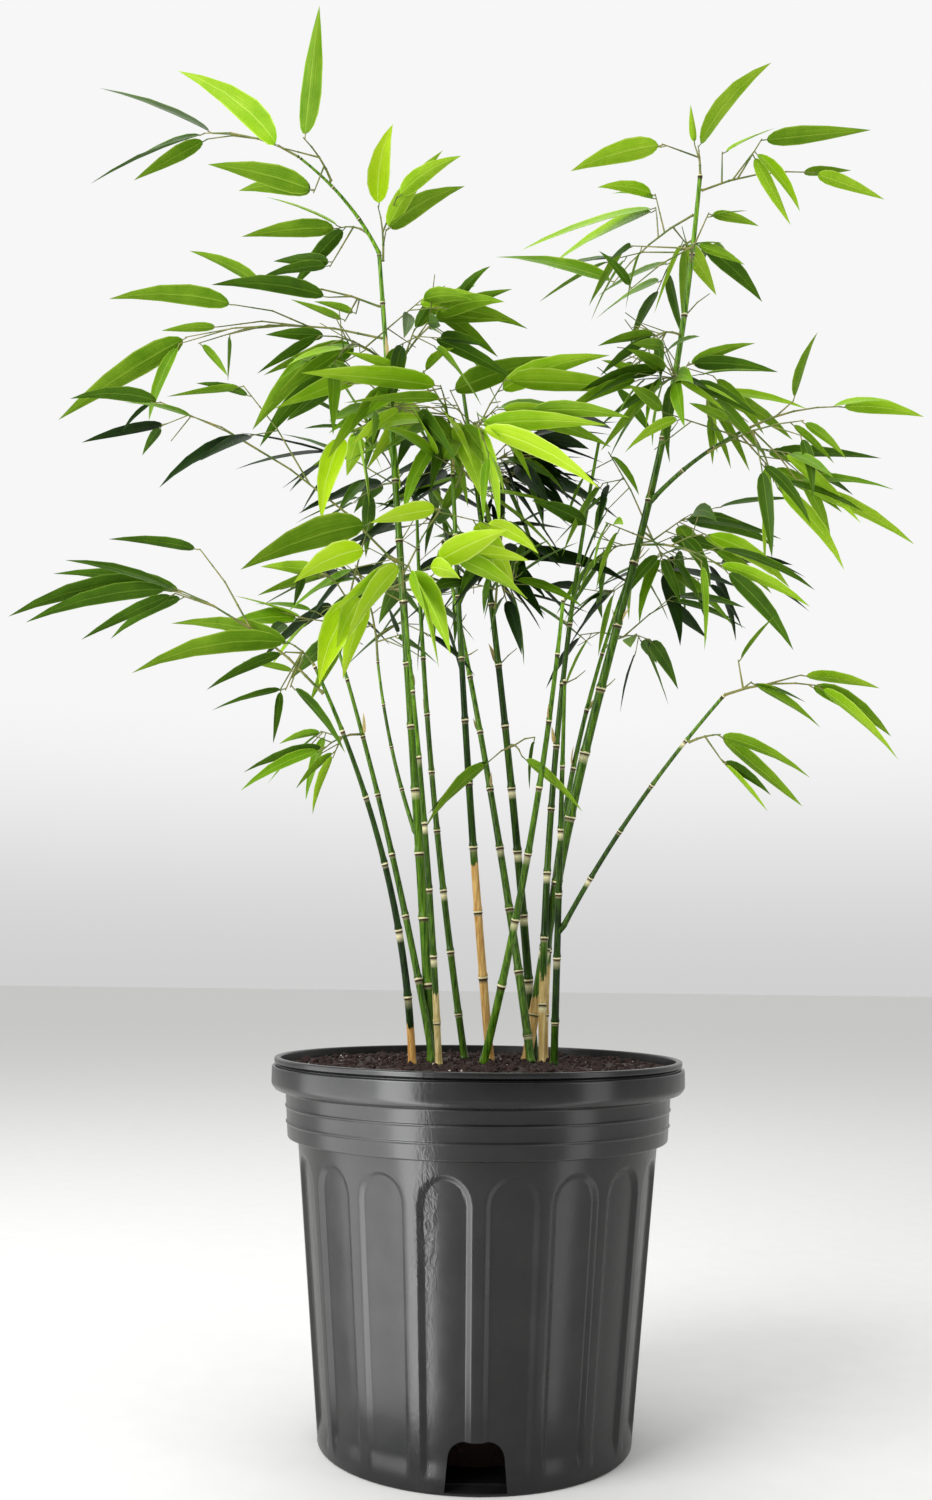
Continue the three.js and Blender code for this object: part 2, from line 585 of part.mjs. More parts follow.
// Where a limb or stem sets off, and which way: just clear of its host, or of the host's end.
function setOff(host, share, toward, radius) {
  const at = host.getPoint(share);
  const along = host.getTangent(share);
  const start = at.clone();
  if (share >= 1) {
    const turn = Math.sqrt(Math.max(0, 1 - along.dot(toward) ** 2));
    return start.addScaledVector(along, CLEAR + radius * turn);
  }
  const out = toward.clone().addScaledVector(along, -along.dot(toward)).normalize();
  const lean = Math.abs(along.dot(toward));
  return start.addScaledVector(out, skinAway(host, share, out) + CLEAR + radius * lean);
}

// A curve that sets off steeper than its chord, from beside the host to `reach` from its middle.
function limbCurve(host, share, heading, rise, reach, spring, radius, CurveType) {
  const end = host.getPoint(share).addScaledVector(aim(heading, rise), reach);
  const toward = aim(heading, rise + spring);
  const start = setOff(host, share, toward, radius);
  const control = start.clone().addScaledVector(toward, reach / 2);
  return new CurveType(start, control, end);
}

// ---- leaves and masses --------------------------------------------------------------------

// A leaf blade: a shallow keeled lance, its edges lifted, its tip on the line it aims along.
// `room` grows it on all sides, and `from` leaves off its root.
function leafSolid(leaf, room = 0, from = 0) {
  const { root, toward, length, width, arch, face } = leaf;
  const side = toward.clone().cross(face);
  const lift = aim(headingOf(toward), riseOf(toward) + 90);
  const spine = (share) => root.clone()
    .addScaledVector(toward, length * share)
    .addScaledVector(lift, arch * length * 4 * share * (1 - share));
  const station = ([share, half]) => [
    spine(share).addScaledVector(side, half * width + room).addScaledVector(face, LEAF_CUP * half * width + room),
    spine(share).addScaledVector(face, -LEAF_KEEL * length - room),
    spine(share).addScaledVector(side, -half * width - room).addScaledVector(face, LEAF_CUP * half * width + room),
  ];
  const rows = (length < SMALL_LEAF ? SMALL_STATIONS : LARGE_STATIONS).flatMap(station);
  const points = [
    spine(from).addScaledVector(toward, -room),
    ...rows,
    spine(1).addScaledVector(toward, room),
  ];
  const faces = [[0, 2, 1], [0, 3, 2], [0, 1, 3]];
  if (rows.length > 3) {
    for (const [a, b] of [[1, 2], [2, 3], [3, 1]]) faces.push([a, b, b + 3], [a, b + 3, a + 3]);
  }
  const last = rows.length + 1;
  for (const [a, b] of [[3, 2], [2, 1], [1, 3]]) faces.push([last - a, last - b, last]);
  return solidOf(shape(points, faces));
}

// One try at a leaf. Leaf 0 ends the twig; the others stand off it, left and right by turns.
function dealLeaf(deal, twig, k, attempt) {
  const draw = [deal(), deal(), deal(), deal()];
  const { aimAt, fanAxis, length, line } = twig;
  const toward = aimAt.clone();
  if (k > 0) {
    const turn = FAN_TURN + FAN_OPENING * k + FAN_SCATTER * (draw[0] - 0.5);
    toward.applyAxisAngle(fanAxis, THREE.MathUtils.degToRad(k % 2 ? turn : -turn));
    toward.z -= FAN_DROOP * k + FAN_DROOP_DEALT * draw[1];
    toward.normalize();
  } else {
    toward.applyAxisAngle(fanAxis, THREE.MathUtils.degToRad(LAST_SCATTER * attempt * (draw[0] - 0.5)));
  }
  const size = k > 0 ? length * (0.96 - FAN_SHORTER * k) * (0.84 + 0.26 * draw[1]) : length;
  const root = alongLine(line, k > 0 ? Math.max(FAN_NEAREST, 1 - FAN_SPACING * k) : 1 - LEAF_SUNK / twig.reach);
  const out = new THREE.Vector3(root.x, root.y - CLUMP_Y, 0).normalize();
  const lift = aim(headingOf(toward), riseOf(toward) + 90);
  const side = toward.clone().cross(lift);
  const lean = THREE.MathUtils.lerp(...LEAF_LEAN, draw[2]) * (side.dot(out) < 0 ? 1 : -1);
  const face = lift.clone().applyAxisAngle(toward, THREE.MathUtils.degToRad(lean));
  const arch = THREE.MathUtils.lerp(...LEAF_ARCH, draw[2]);
  return { root, toward, length: size, width: size * LEAF_WIDTH * (0.85 + 0.3 * draw[3]), arch, face };
}

// A short twig dealt round the host, on the side that the stem is on.
function fillRow(deal, heading, index) {
  const turn = THREE.MathUtils.lerp(...FILL_TURN, deal()) * (index % 2 ? 1 : -1);
  const rise = THREE.MathUtils.lerp(...FILL_RISE, deal());
  const reach = THREE.MathUtils.lerp(...FILL_REACH, deal());
  const pitch = rise - THREE.MathUtils.lerp(...FILL_DROOP, deal());
  const length = THREE.MathUtils.lerp(...FILL_LEAF, deal());
  return [heading + turn, rise, reach, heading + turn * (0.6 + 0.6 * deal()), pitch, length, FILL_LEAVES];
}

// A point on a twig's jointed line, by its share of the line's steps.
function alongLine(line, share) {
  const step = Math.min(line.length - 2, Math.floor(share * (line.length - 1)));
  return line[step].clone().lerp(line[step + 1], share * (line.length - 1) - step);
}

function twigWood(line, curve, foot, tip) {
  const shares = line.map((_, i) => i / (line.length - 1));
  return solidOf(tube(curve, shares.map((share) => [share, THREE.MathUtils.lerp(foot, tip, share)]), TWIG_SIDES));
}

// A mass starts as the stem from its host, and knows the twigs that are to fork from it.
function startMass([name, hostName, place, rows, filling], index) {
  const host = hosts.get(hostName);
  const share = host.shareAt ? host.shareAt(place) : place;
  const [heading, rise, reach] = rows[0];
  const curve = limbCurve(host, share, heading, rise, reach, TWIG_SPRING, STEM_R, THREE.QuadraticBezierCurve3);
  const line = curve.getPoints(STEM_STEPS);
  const solid = twigWood(line, curve, STEM_R, TWIG_TIP_R);
  remember(solid, name);
  const deal = dealer(seedOf(index, 0, 0));
  const fills = Array.from({ length: filling }, (_, i) => fillRow(deal, heading, i));
  const twigs = [{ number: 0, line, row: rows[0] }];
  return { name, index, rows, fills, line, solid, middle: host.getPoint(share), twigs };
}

// A side twig forks from the stem, and is left out when it would touch something.
function growTwig(plant, row, number) {
  const [heading, rise, reach] = row;
  const start = alongLine(plant.line, FORK * Math.min(1, reach / plant.rows[0][2]));
  const end = plant.middle.clone().addScaledVector(aim(heading, rise), reach);
  const control = start.clone().lerp(end, 0.5);
  control.z += TWIG_ARCH * start.distanceTo(end);
  const curve = new THREE.QuadraticBezierCurve3(start, control, end);
  const line = curve.getPoints(reach < LONG_TWIG ? 1 : 2);
  const guard = twigWood(line, curve, TWIG_R + LEAF_GUARD, TWIG_R + LEAF_GUARD);
  if (touches(guard, (other) => other.owner !== plant.name)) return;
  const wood = twigWood(line, curve, TWIG_R, TWIG_TIP_R);
  remember(wood, plant.name);
  plant.solid = plant.solid.add(wood);
  plant.twigs.push({ number, line, row });
}

// Leaf k of every twig: the first try that has room is kept, and a leaf with no room is left out.
function growLeaves(plant, k) {
  const foreign = (other) => other.owner !== plant.name;
  const own = (other) => other.owner === plant.name;
  for (const twig of plant.twigs) {
    const [, , reach, heading, pitch, length, count] = twig.row;
    if (k >= count) continue;
    const roll = dealer(seedOf(plant.index, twig.number, 1))() * 180;
    const aimAt = aim(heading, pitch);
    const fanAxis = aim(heading, pitch + 90).applyAxisAngle(aimAt, THREE.MathUtils.degToRad(roll));
    const deal = dealer(seedOf(plant.index, twig.number, 2 + k));
    const tries = Array.from({ length: LEAF_TRIES }, (_, attempt) =>
      dealLeaf(deal, { line: twig.line, reach, aimAt, fanAxis, length }, k, attempt));
    const before = pinches(plant.solid);
    const fits = tries.find((leaf) =>
      !touches(leafSolid(leaf, LEAF_GUARD), foreign) && !touches(leafSolid(leaf, LEAF_GUARD, LEAF_FREE), own)
      && pinches(plant.solid.add(leafSolid(leaf))) <= before);
    if (!fits) continue;
    const solid = leafSolid(fits);
    remember(solid, plant.name);
    plant.solid = plant.solid.add(solid);
  }
}

// ---- assembly -----------------------------------------------------------------------------

const group = new THREE.Group();

function place(name, solid, look) {
  const mesh = new THREE.Mesh(geometryOf(solid), new THREE.MeshStandardMaterial(look));
  mesh.name = name;
  mesh.geometry.computeVertexNormals();
  group.add(mesh);
  return mesh;
}

function limb(name, solid) {
  remember(solid, name);
  place(name, solid, cane);
}

place('pot', pot(), plastic);
place('soil', soil(), pottingMix);

const hosts = new Map();
for (const row of CULMS) {
  const curve = new CulmCurve(row);
  hosts.set(row[0], curve);
  limb(row[0], limbSolid(curve));
}
for (const [name, culmName, z, heading, rise, reach, spring, radius] of BOUGHS) {
  const host = hosts.get(culmName);
  const curve = limbCurve(host, host.shareAt(z), heading, rise, reach, spring, radius, BoughCurve);
  curve.radius = radius;
  hosts.set(name, curve);
  limb(name, limbSolid(curve));
}
// Growth goes in rounds, so that no mass crowds out the next: all stems, all side twigs, then the
// last leaf of every twig, and then the leaves behind it.
const plants = MASSES.map(startMass);
for (const plant of plants) plant.rows.slice(1).forEach((row, i) => growTwig(plant, row, i + 1));
for (const plant of plants) plant.fills.forEach((row, i) => growTwig(plant, row, plant.rows.length + i));
for (let k = 0; k < MOST_LEAVES; k++) {
  for (const plant of plants) growLeaves(plant, k);
}
for (const plant of plants) place(plant.name, plant.solid, foliage);

export default group;
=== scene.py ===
import math
from contextlib import contextmanager
from functools import partial
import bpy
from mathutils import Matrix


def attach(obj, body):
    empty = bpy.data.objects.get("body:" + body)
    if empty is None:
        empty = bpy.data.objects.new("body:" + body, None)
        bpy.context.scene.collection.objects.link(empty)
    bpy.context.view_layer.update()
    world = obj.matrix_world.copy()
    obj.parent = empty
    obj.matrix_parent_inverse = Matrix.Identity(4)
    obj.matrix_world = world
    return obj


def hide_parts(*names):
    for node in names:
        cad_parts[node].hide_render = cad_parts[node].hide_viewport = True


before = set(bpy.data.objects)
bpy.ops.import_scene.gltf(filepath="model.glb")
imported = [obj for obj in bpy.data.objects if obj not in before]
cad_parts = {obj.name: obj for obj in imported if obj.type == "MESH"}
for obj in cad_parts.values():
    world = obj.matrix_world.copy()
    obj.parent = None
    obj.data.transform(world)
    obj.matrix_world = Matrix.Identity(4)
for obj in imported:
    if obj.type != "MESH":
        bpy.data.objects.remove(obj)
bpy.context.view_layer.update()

from types import SimpleNamespace

import bpy
import numpy as np
from mathutils import Matrix, Quaternion, Vector, noise
from mathutils.kdtree import KDTree

# A clump of bamboo in a fluted nursery pot. Lengths are in millimetres until a mesh is made.
MM = 0.001

# ---- the pot's sizes ----------------------------------------------------------------------
FOOT_R = 102.6
WALL_LEAN = 0.0973  # radius gained for each millimetre of height
WALL = 2.0
FLOOR = 3.0
BODY_TOP_Z = 190.6
SHOULDER_R = 128.1
SHOULDER_TOP_Z = 221.4
SHOULDER_LEAN = 0.078
SHOULDER_STEP = 1.3  # above the wall's top, where the shoulder's own radius counts from
RIDGES_Z = (201.9, 212.2)
RIDGE_HALF = 1.1
RIDGE_HEIGHT = 0.9
BAND_R = 140.0
BAND_Z = 223.2
BAND_WIDTH = 6.2
BAND_TOP_Z = 238.4
LIP_R = 138.5
LIP_Z = 243.8
LIP_WIDTH = 4.2
PANELS = 18
PANEL_HALF = 8.5  # degrees, at the land
PANEL_FLOOR_HALF = 6.1  # degrees, at the bottom of the recess
PANEL_DEPTH = 2.5
PANEL_FOOT_Z = 6.0
PANEL_RAMP = 14.0
ARCH_Z = 164.6
ARCH_RISE = 19.0
ARCH_FLOOR_RISE = 14.4
DRAINS = 4
DRAIN_WIDTH = 37.0
DRAIN_Z = 1.8
DRAIN_TOP_Z = 30.5
INNER_FOOT_R = FOOT_R + WALL_LEAN * FLOOR - PANEL_DEPTH - WALL
INNER_TOP_R = FOOT_R + WALL_LEAN * BODY_TOP_Z - PANEL_DEPTH - WALL
SOIL_Z = 238.0
CLEAR = 0.3
GROUND_Z = SOIL_Z + CLEAR
CLUMP_Y = 20.0

# ---- the plant's sizes, as its solids have them -------------------------------------------
CULM_SIDES = 5
INTERNODE = 47
NODE_SWELL = 1.16
PLAIN_RING = 0.4
TIP_TAPER = 0.42
TAPER_POWER = 1.4
BOUGH_SIDES = 5
BOUGH_STEPS = 6
BOUGH_TAPER = 0.6
BOUGH_INTERNODE = 0.8
STEM_R = 1.25
TWIG_SPRING = 16
STEM_STEPS = 4
LONG_TWIG = 60
TWIG_ARCH = 0.12
FORK = 0.5
LEAF_WIDTH = 0.185
LEAF_NARROWEST = 0.85
LEAF_BREADTH = 0.3
LEAF_TRIES = 8
MOST_LEAVES = 4
TIP_NEAR = 0.3
LEAF_SUNK = 2
FAN_TURN = 22
FAN_OPENING = 9
FAN_SCATTER = 16
FAN_DROOP = 0.07
FAN_DROOP_DEALT = 0.12
FAN_SPACING = 0.13
FAN_NEAREST = 0.3
FAN_SHORTER = 0.05
FAN_LENGTH = 0.96
FAN_LEAST = 0.84
FAN_DEALT = 0.26
LAST_SCATTER = 7
LEAF_LEAN = (18, 68)
LEAF_ARCH = (0.02, 0.07)
FILL_TURN = (35, 110)
FILL_RISE = (-10, 45)
FILL_REACH = (26, 58)
FILL_DROOP = (20, 65)
FILL_LEAF = (58, 84)
FILL_LEAVES = 3
FILL_SWING = 0.6

# Culms: name, foot [x, y], tip [x, y, z], bow [x, y] at mid height, sway, foot radius; then how
# fresh its green is (0 to 1), how high old dry sheath covers its foot, and how tan that is.
CULMS = [
    ["culm_01", [-45, -5], [-116, -40, 508], [15, 0], 0, 2.7, 0.05, 266, 0.85],
    ["culm_02", [-31, 18], [-112, 60, 551], [5, 0], 0, 2.7, 0.35, 0, 0],
    ["culm_03", [-32, 31], [-82, 10, 842], [1, 0], 0, 3.7, 0.45, 0, 0],
    ["culm_04", [-27, 3], [-56, -35, 557], [3, 0], 0, 2.4, 0.3, 288, 0.15],
    ["culm_05", [-9, 60], [-54, 95, 694], [-7, 0], 0, 2.7, 0.3, 0, 0],
    ["culm_06", [9, 38], [-25, 20, 705], [-3, 0], 0, 3.1, 0.1, 378, 0.7],
    ["culm_07", [38, 30], [-32, 110, 648], [4, 0], 0, 3.1, 0.35, 0, 0],
    ["culm_08", [42, 64], [-18, 50, 759], [5, 0], 0, 3.3, 0.1, 0, 0],
    ["culm_09", [4, 18], [55, -45, 556], [6, 0], 0, 2.9, 0.4, 0, 0],
    ["culm_10", [46, 36], [90, 50, 711], [-11, 0], 0, 2.8, 0.2, 298, 0.35],
    ["culm_11", [36, 54], [163, 0, 905], [5, 0], -7, 3.9, 0.3, 284, 0.5],
    ["culm_12", [50, 72], [118, 110, 616], [-17, 0], 0, 2.7, 0.3, 306, 0.4],
    ["culm_13", [53, 14], [58, -20, 505], [0, 0], 0, 2.7, 0.15, 0, 0],
]

# Boughs: name, culm, height there, heading, rise, reach, spring, foot radius, fresh.
BOUGHS = [
    ["bough_top_left", "culm_03", 842, 211, 40, 89, 18, 1.6, 0.9],
    ["bough_mid_left", "culm_03", 402, 139, 71, 139, -6, 1.7, 0.4],
    ["bough_low_right", "culm_13", 334, 330, 51, 196, 8, 1.9, 0.2],
    ["bough_right", "culm_11", 654, 322, 23, 89, 14, 1.9, 0.3],
]

# Foliage masses: name, host, place on it, filling twigs; then how lit its leaves are painted (0 to 1:
# painted shade deep in the crown, painted light at its edge), how many finer twigs each of its twigs
# bears, and how broad its leaves are over the usual. The outer ones keep to their few long leaves, so
# that they stand open. Last its twigs: heading, rise and reach from the host, heading, pitch and
# length of the last leaf, and how many leaves.
MASSES = [
    ["spray_top_left", "bough_top_left", 1, 0, 0.42, 0, 1, [
     [168, 22, 77, 190, 17, 90, 1], [172, 19, 80, 198, -36, 100, 1], [164, 20, 83, 171, -27, 65, 1]]],
    ["spray_top_upright", "bough_top_left", 0.7, 0, 0.5, 0, 1.15, [
     [238, 31, 38, 303, 80, 100, 1], [212, 19, 46, 170, 41, 109, 1], [235, -44, 24, 184, 12, 81, 2]]],
    ["spray_crown_left", "culm_03", 836, 0, 0.68, 0, 1.2, [
     [108, 79, 53, 49, 80, 80, 1], [286, 36, 26, 10, 36, 74, 2], [295, 47, 49, 348, 30, 57, 1],
     [180, 50, 36, 150, 35, 45, 1]]],
    ["spray_left_a", "bough_top_left", 0.2, 0, 0.44, 0, 1, [
     [131, 27, 45, 173, -2, 79, 3], [132, -11, 49, 166, -4, 61, 2]]],
    ["spray_left_b", "culm_03", 800, 0, 0.48, 0, 1, [
     [190, 4, 92, 170, 30, 69, 1], [208, -5, 45, 187, 2, 87, 2], [149, -5, 36, 167, 26, 51, 1],
     [134, 10, 33, 161, 23, 40, 1]]],
    ["spray_left_c", "culm_03", 775, 0, 0.5, 0, 1, [
     [177, 1, 154, 174, -33, 118, 1], [177, -1, 159, 195, -73, 68, 1], [201, 2, 116, 186, -1, 90, 1],
     [195, -4, 125, 180, -5, 43, 1], [198, -8, 119, 282, -83, 40, 1], [175, 0, 145, 348, -50, 38, 1]]],
    ["spray_left_d", "culm_03", 755, 2, 0.5, 2, 1, [
     [240, -10, 87, 200, -39, 57, 2], [248, -16, 72, 191, -42, 70, 2], [243, -22, 78, 277, -80, 61, 1]]],
    ["spray_left_e", "culm_03", 600, 0, 0.3, 1, 0.85, [
     [192, 31, 210, 189, -2, 65, 2], [194, 46, 174, 170, -4, 60, 2], [192, 30, 215, 209, -53, 34, 1]]],
    ["spray_mid_left", "culm_06", 698, 3, 0.68, 2, 1.15, [
     [264, 9, 72, 192, -2, 99, 1], [232, 28, 72, 200, 8, 40, 2], [242, 39, 58, 28, 45, 35, 1]]],
    ["spray_mid_right", "culm_06", 660, 2, 0.7, 2, 1.15, [
     [320, 56, 89, 348, -8, 100, 2], [263, 43, 71, 346, -12, 83, 2], [261, 72, 72, 14, 24, 94, 1]]],
    ["spray_mid_front", "culm_03", 703, 3, 0.65, 3, 1.45, [
     [275, 9, 56, 214, -49, 54, 2], [281, -8, 56, 220, -46, 45, 2]]],
    ["spray_crown_mid", "culm_03", 745, 2, 0.45, 2, 1, [
     [357, 50, 65, 21, 48, 41, 3], [322, 50, 40, 0, 45, 49, 2]]],
    ["spray_front_a", "culm_08", 710, 3, 0.62, 2, 1, [
     [273, -18, 117, 346, -31, 98, 3], [276, -26, 135, 259, -74, 56, 2]]],
    ["spray_back_mid", "culm_08", 686, 3, 0.06, 7, 1, [
     [64, 19, 57, 6, -21, 104, 4], [48, 4, 38, 12, -52, 80, 3]]],
    ["spray_front_b", "culm_04", 557, 2, 0.85, 1, 1.55, [
     [272, 11, 56, 196, -58, 70, 2], [301, 45, 74, 194, -17, 50, 1], [276, 4, 66, 334, -72, 74, 2]]],
    ["spray_left_f", "culm_02", 543, 1, 0.5, 2, 1.25, [
     [294, 52, 105, 186, -23, 100, 1], [265, 35, 75, 169, -16, 54, 2]]],
    ["spray_inner_left", "bough_mid_left", 1, 2, 0.35, 2, 1, [
     [220, 72, 75, 180, -35, 64, 3], [16, 61, 38, 180, -39, 56, 2]]],
    ["spray_inner_back", "culm_07", 644, 1, 0.06, 5, 1, [
     [329, -18, 59, 354, -14, 105, 2], [330, -25, 43, 348, -47, 71, 2], [20, -30, 40, 11, -32, 64, 1]]],
    ["spray_inner_front", "culm_08", 575, 2, 0.25, 2, 1, [
     [283, 61, 73, 332, -51, 50, 2], [279, -6, 56, 308, -68, 50, 2]]],
    ["spray_right_a", "culm_11", 779, 0, 0.4, 6, 1, [
     [221, -20, 33, 193, -40, 57, 2], [203, -50, 53, 180, 21, 34, 1], [169, -36, 65, 0, -54, 51, 1]]],
    ["spray_right_b", "culm_11", 730, 3, 0.5, 3, 0.85, [
     [321, 57, 30, 0, -5, 68, 2], [281, -5, 40, 348, -33, 58, 2], [264, -11, 60, 343, -39, 45, 2]]],
    ["spray_right_tip", "bough_right", 1, 0, 0.65, 0, 1, [
     [351, 11, 66, 350, -11, 59, 2], [0, 33, 39, 0, 70, 57, 1]]],
    ["spray_right_c", "bough_right", 0.6, 2, 0.5, 1, 0.85, [
     [318, 2, 77, 340, -47, 43, 2], [345, -6, 45, 7, 0, 85, 2], [292, -29, 76, 287, -81, 68, 2],
     [314, -37, 73, 0, -53, 74, 3], [332, -30, 79, 0, -28, 88, 2]]],
    ["spray_right_d", "culm_11", 618, 1, 0.55, 1, 0.85, [
     [310, -25, 91, 347, -53, 75, 2], [305, -24, 72, 0, -89, 65, 1], [314, -5, 61, 0, -33, 72, 2]]],
    ["spray_right_e", "culm_11", 629, 2, 0.38, 4, 1, [
     [61, -11, 44, 180, -72, 58, 2], [128, 64, 81, 0, -56, 41, 2]]],
    ["spray_crown_right", "culm_11", 905, 0, 0.75, 0, 1, [
     [87, 72, 33, 5, 52, 98, 1], [180, 81, 27, 235, 79, 31, 1], [212, 18, 40, 188, -22, 78, 2]]],
    ["spray_crown_right_b", "culm_11", 893, 0, 0.55, 0, 1, [
     [353, 6, 88, 10, -15, 60, 2], [324, 24, 57, 353, 2, 80, 1], [332, 25, 49, 341, -60, 64, 2],
     [326, 52, 32, 346, 21, 43, 1]]],
    ["spray_crown_right_c", "culm_11", 874, 1, 0.58, 0, 1, [
     [148, -28, 80, 174, 15, 98, 1], [117, 33, 63, 175, -17, 113, 2], [135, 41, 51, 192, 0, 48, 2]]],
    ["spray_crown_right_d", "culm_11", 836, 1, 0.48, 0, 1, [
     [262, -19, 70, 343, -33, 42, 2], [277, 17, 48, 0, -14, 38, 2], [207, -33, 67, 202, 41, 36, 1]]],
    ["spray_low_left_a", "culm_01", 508, 0, 0.4, 0, 0.8, [
     [180, 41, 26, 185, -8, 108, 2], [208, 18, 23, 191, -29, 60, 1], [138, -8, 20, 180, 10, 39, 1],
     [243, -35, 41, 192, -20, 51, 1], [225, -37, 36, 256, -75, 41, 1], [236, -39, 31, 346, -50, 62, 1]]],
    ["spray_low_left_b", "culm_01", 490, 0, 0.4, 0, 0.72, [
     [181, 33, 141, 191, -17, 105, 2], [187, 32, 129, 186, -16, 99, 2], [176, 33, 131, 180, -28, 73, 2],
     [175, 48, 140, 180, 6, 66, 1]]],
    ["spray_low_left_c", "culm_02", 476, 1, 0.45, 1, 0.85, [
     [237, -22, 51, 190, -29, 66, 2], [248, -25, 48, 180, -72, 48, 2]]],
    ["spray_low_right_a", "bough_low_right", 0.8, 0, 0.5, 0, 1, [
     [326, 4, 25, 0, -41, 73, 2], [320, -33, 33, 341, -50, 45, 2]]],
    ["spray_low_right_b", "bough_low_right", 1, 0, 0.5, 0, 1, [
     [351, 5, 64, 348, -46, 71, 2], [0, 16, 55, 0, -9, 54, 1], [311, 15, 24, 347, -36, 54, 2],
     [330, 66, 26, 0, 52, 41, 1]]],
    ["spray_low_mid", "culm_08", 468, 0, 0.45, 0, 1, [
     [277, -14, 70, 346, -43, 59, 2], [255, -18, 63, 192, -48, 70, 2], [287, -1, 61, 180, -85, 38, 1]]],
    ["spray_back_left_a", "culm_05", 690, 3, 0.3, 2, 1, [
     [120, 10, 120, 140, -20, 85, 4], [160, 25, 90, 175, -10, 80, 4], [85, 40, 80, 90, 20, 75, 3]]],
    ["spray_back_left_b", "culm_05", 600, 1, 0.25, 1, 1, [
     [140, 0, 110, 150, -30, 80, 4], [100, 20, 100, 110, -15, 80, 4], [175, 15, 70, 190, -30, 70, 3]]],
    ["spray_back_a", "culm_07", 615, 0, 0.25, 2, 1, [
     [75, 35, 120, 80, 5, 85, 4], [110, 5, 100, 120, -20, 80, 4], [45, 0, 90, 30, -25, 80, 3]]],
    ["spray_back_right_a", "culm_12", 612, 2, 0.25, 2, 1, [
     [45, 30, 120, 40, -10, 85, 4], [80, 20, 110, 85, -15, 80, 4], [10, 15, 90, 0, -30, 80, 3]]],
    ["spray_back_right_b", "culm_12", 560, 0, 0.3, 1, 1, [
     [60, 15, 100, 60, -25, 75, 4], [20, 35, 80, 20, -15, 70, 2], [100, 20, 80, 110, -20, 70, 3]]],
    ["spray_back_crown", "culm_11", 855, 0, 0.4, 0, 1, [
     [95, 10, 120, 100, -10, 85, 4], [70, 25, 90, 60, 5, 80, 3], [125, 15, 100, 140, -10, 75, 3]]],
]


# ---- small helpers ------------------------------------------------------------------------
def aim(heading, rise):
    h, r = math.radians(heading), math.radians(rise)
    return Vector((math.cos(r) * math.cos(h), math.cos(r) * math.sin(h), math.sin(r)))


def clamp(value, low=0.0, high=1.0):
    return max(low, min(high, value))


def heading_of(v):
    return math.degrees(math.atan2(v.y, v.x))


def rise_of(v):
    return math.degrees(math.asin(clamp(v.z / v.length, -1.0)))


def turned(v, axis, degrees):
    return Quaternion(axis, math.radians(degrees)) @ v


def lerp(low, high, share):
    return low + (high - low) * share


def seed_of(mass, twig, item):
    return 4096 * (mass + 1) + 64 * twig + item


def dealer(seed):
    """A repeatable run of numbers between 0 and 1, the same one that the solids are dealt by."""
    state = seed & 0xFFFFFFFF

    def deal():
        nonlocal state
        state = (state + 0x6D2B79F5) & 0xFFFFFFFF
        t = ((state ^ (state >> 15)) * (state | 1)) & 0xFFFFFFFF
        t = ((t + (((t ^ (t >> 7)) * (t | 61)) & 0xFFFFFFFF)) & 0xFFFFFFFF) ^ t
        return ((t ^ (t >> 14)) & 0xFFFFFFFF) / 4294967296

    return deal


def pick(*pieces):
    """Makes these the only ones selected, and the first of them the active one."""
    bpy.ops.object.select_all(action="DESELECT")
    for piece in pieces:
        piece.select_set(True)
    bpy.context.view_layer.objects.active = pieces[0]


def model(add_shape, name, **sizes):
    """A new object, alone selected: one of the modeller's own shapes, or a light."""
    bpy.ops.object.select_all(action="DESELECT")
    add_shape(**sizes)
    piece = bpy.context.active_object
    piece.name = name
    return piece


@contextmanager
def editing(piece):
    """Edit mode on one piece, with all of its mesh selected."""
    pick(piece)
    bpy.ops.object.mode_set(mode="EDIT")
    bpy.ops.mesh.select_all(action="SELECT")
    yield
    bpy.ops.object.mode_set(mode="OBJECT")


def draw_up(profile, unit=1):
    """Extrudes what is selected along a profile of (radius, height), from its first row."""
    for (radius, z), (to_radius, to_z) in zip(profile, profile[1:]):
        bpy.ops.mesh.extrude_region_move(TRANSFORM_OT_translate={"value": (0, 0, (to_z - z) * unit)})
        bpy.ops.transform.resize(value=(to_radius / radius, to_radius / radius, 1))


def clean(piece, near=0.002 * MM, close=False):
    """Merges doubles, closes open ends if asked, and turns every face outward."""
    with editing(piece):
        bpy.ops.mesh.remove_doubles(threshold=near)
        if close:
            bpy.ops.mesh.select_all(action="DESELECT")
            bpy.ops.mesh.select_non_manifold()
            bpy.ops.mesh.edge_face_add()
            bpy.ops.mesh.select_all(action="SELECT")
        bpy.ops.mesh.normals_make_consistent(inside=False)


def taken(piece):
    """The points and faces of a modelled shape, which is itself removed."""
    points = np.array([v.co[:] for v in piece.data.vertices])
    faces = [list(face.vertices) for face in piece.data.polygons]
    bpy.data.objects.remove(piece)
    return points, faces


def settle(piece, smooth):
    """The end of every piece: its place in its mesh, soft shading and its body."""
    pick(piece)
    bpy.ops.object.transform_apply(location=True, rotation=True, scale=True)
    bpy.ops.object.shade_smooth_by_angle(angle=math.radians(smooth))
    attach(piece, "root")
    return piece


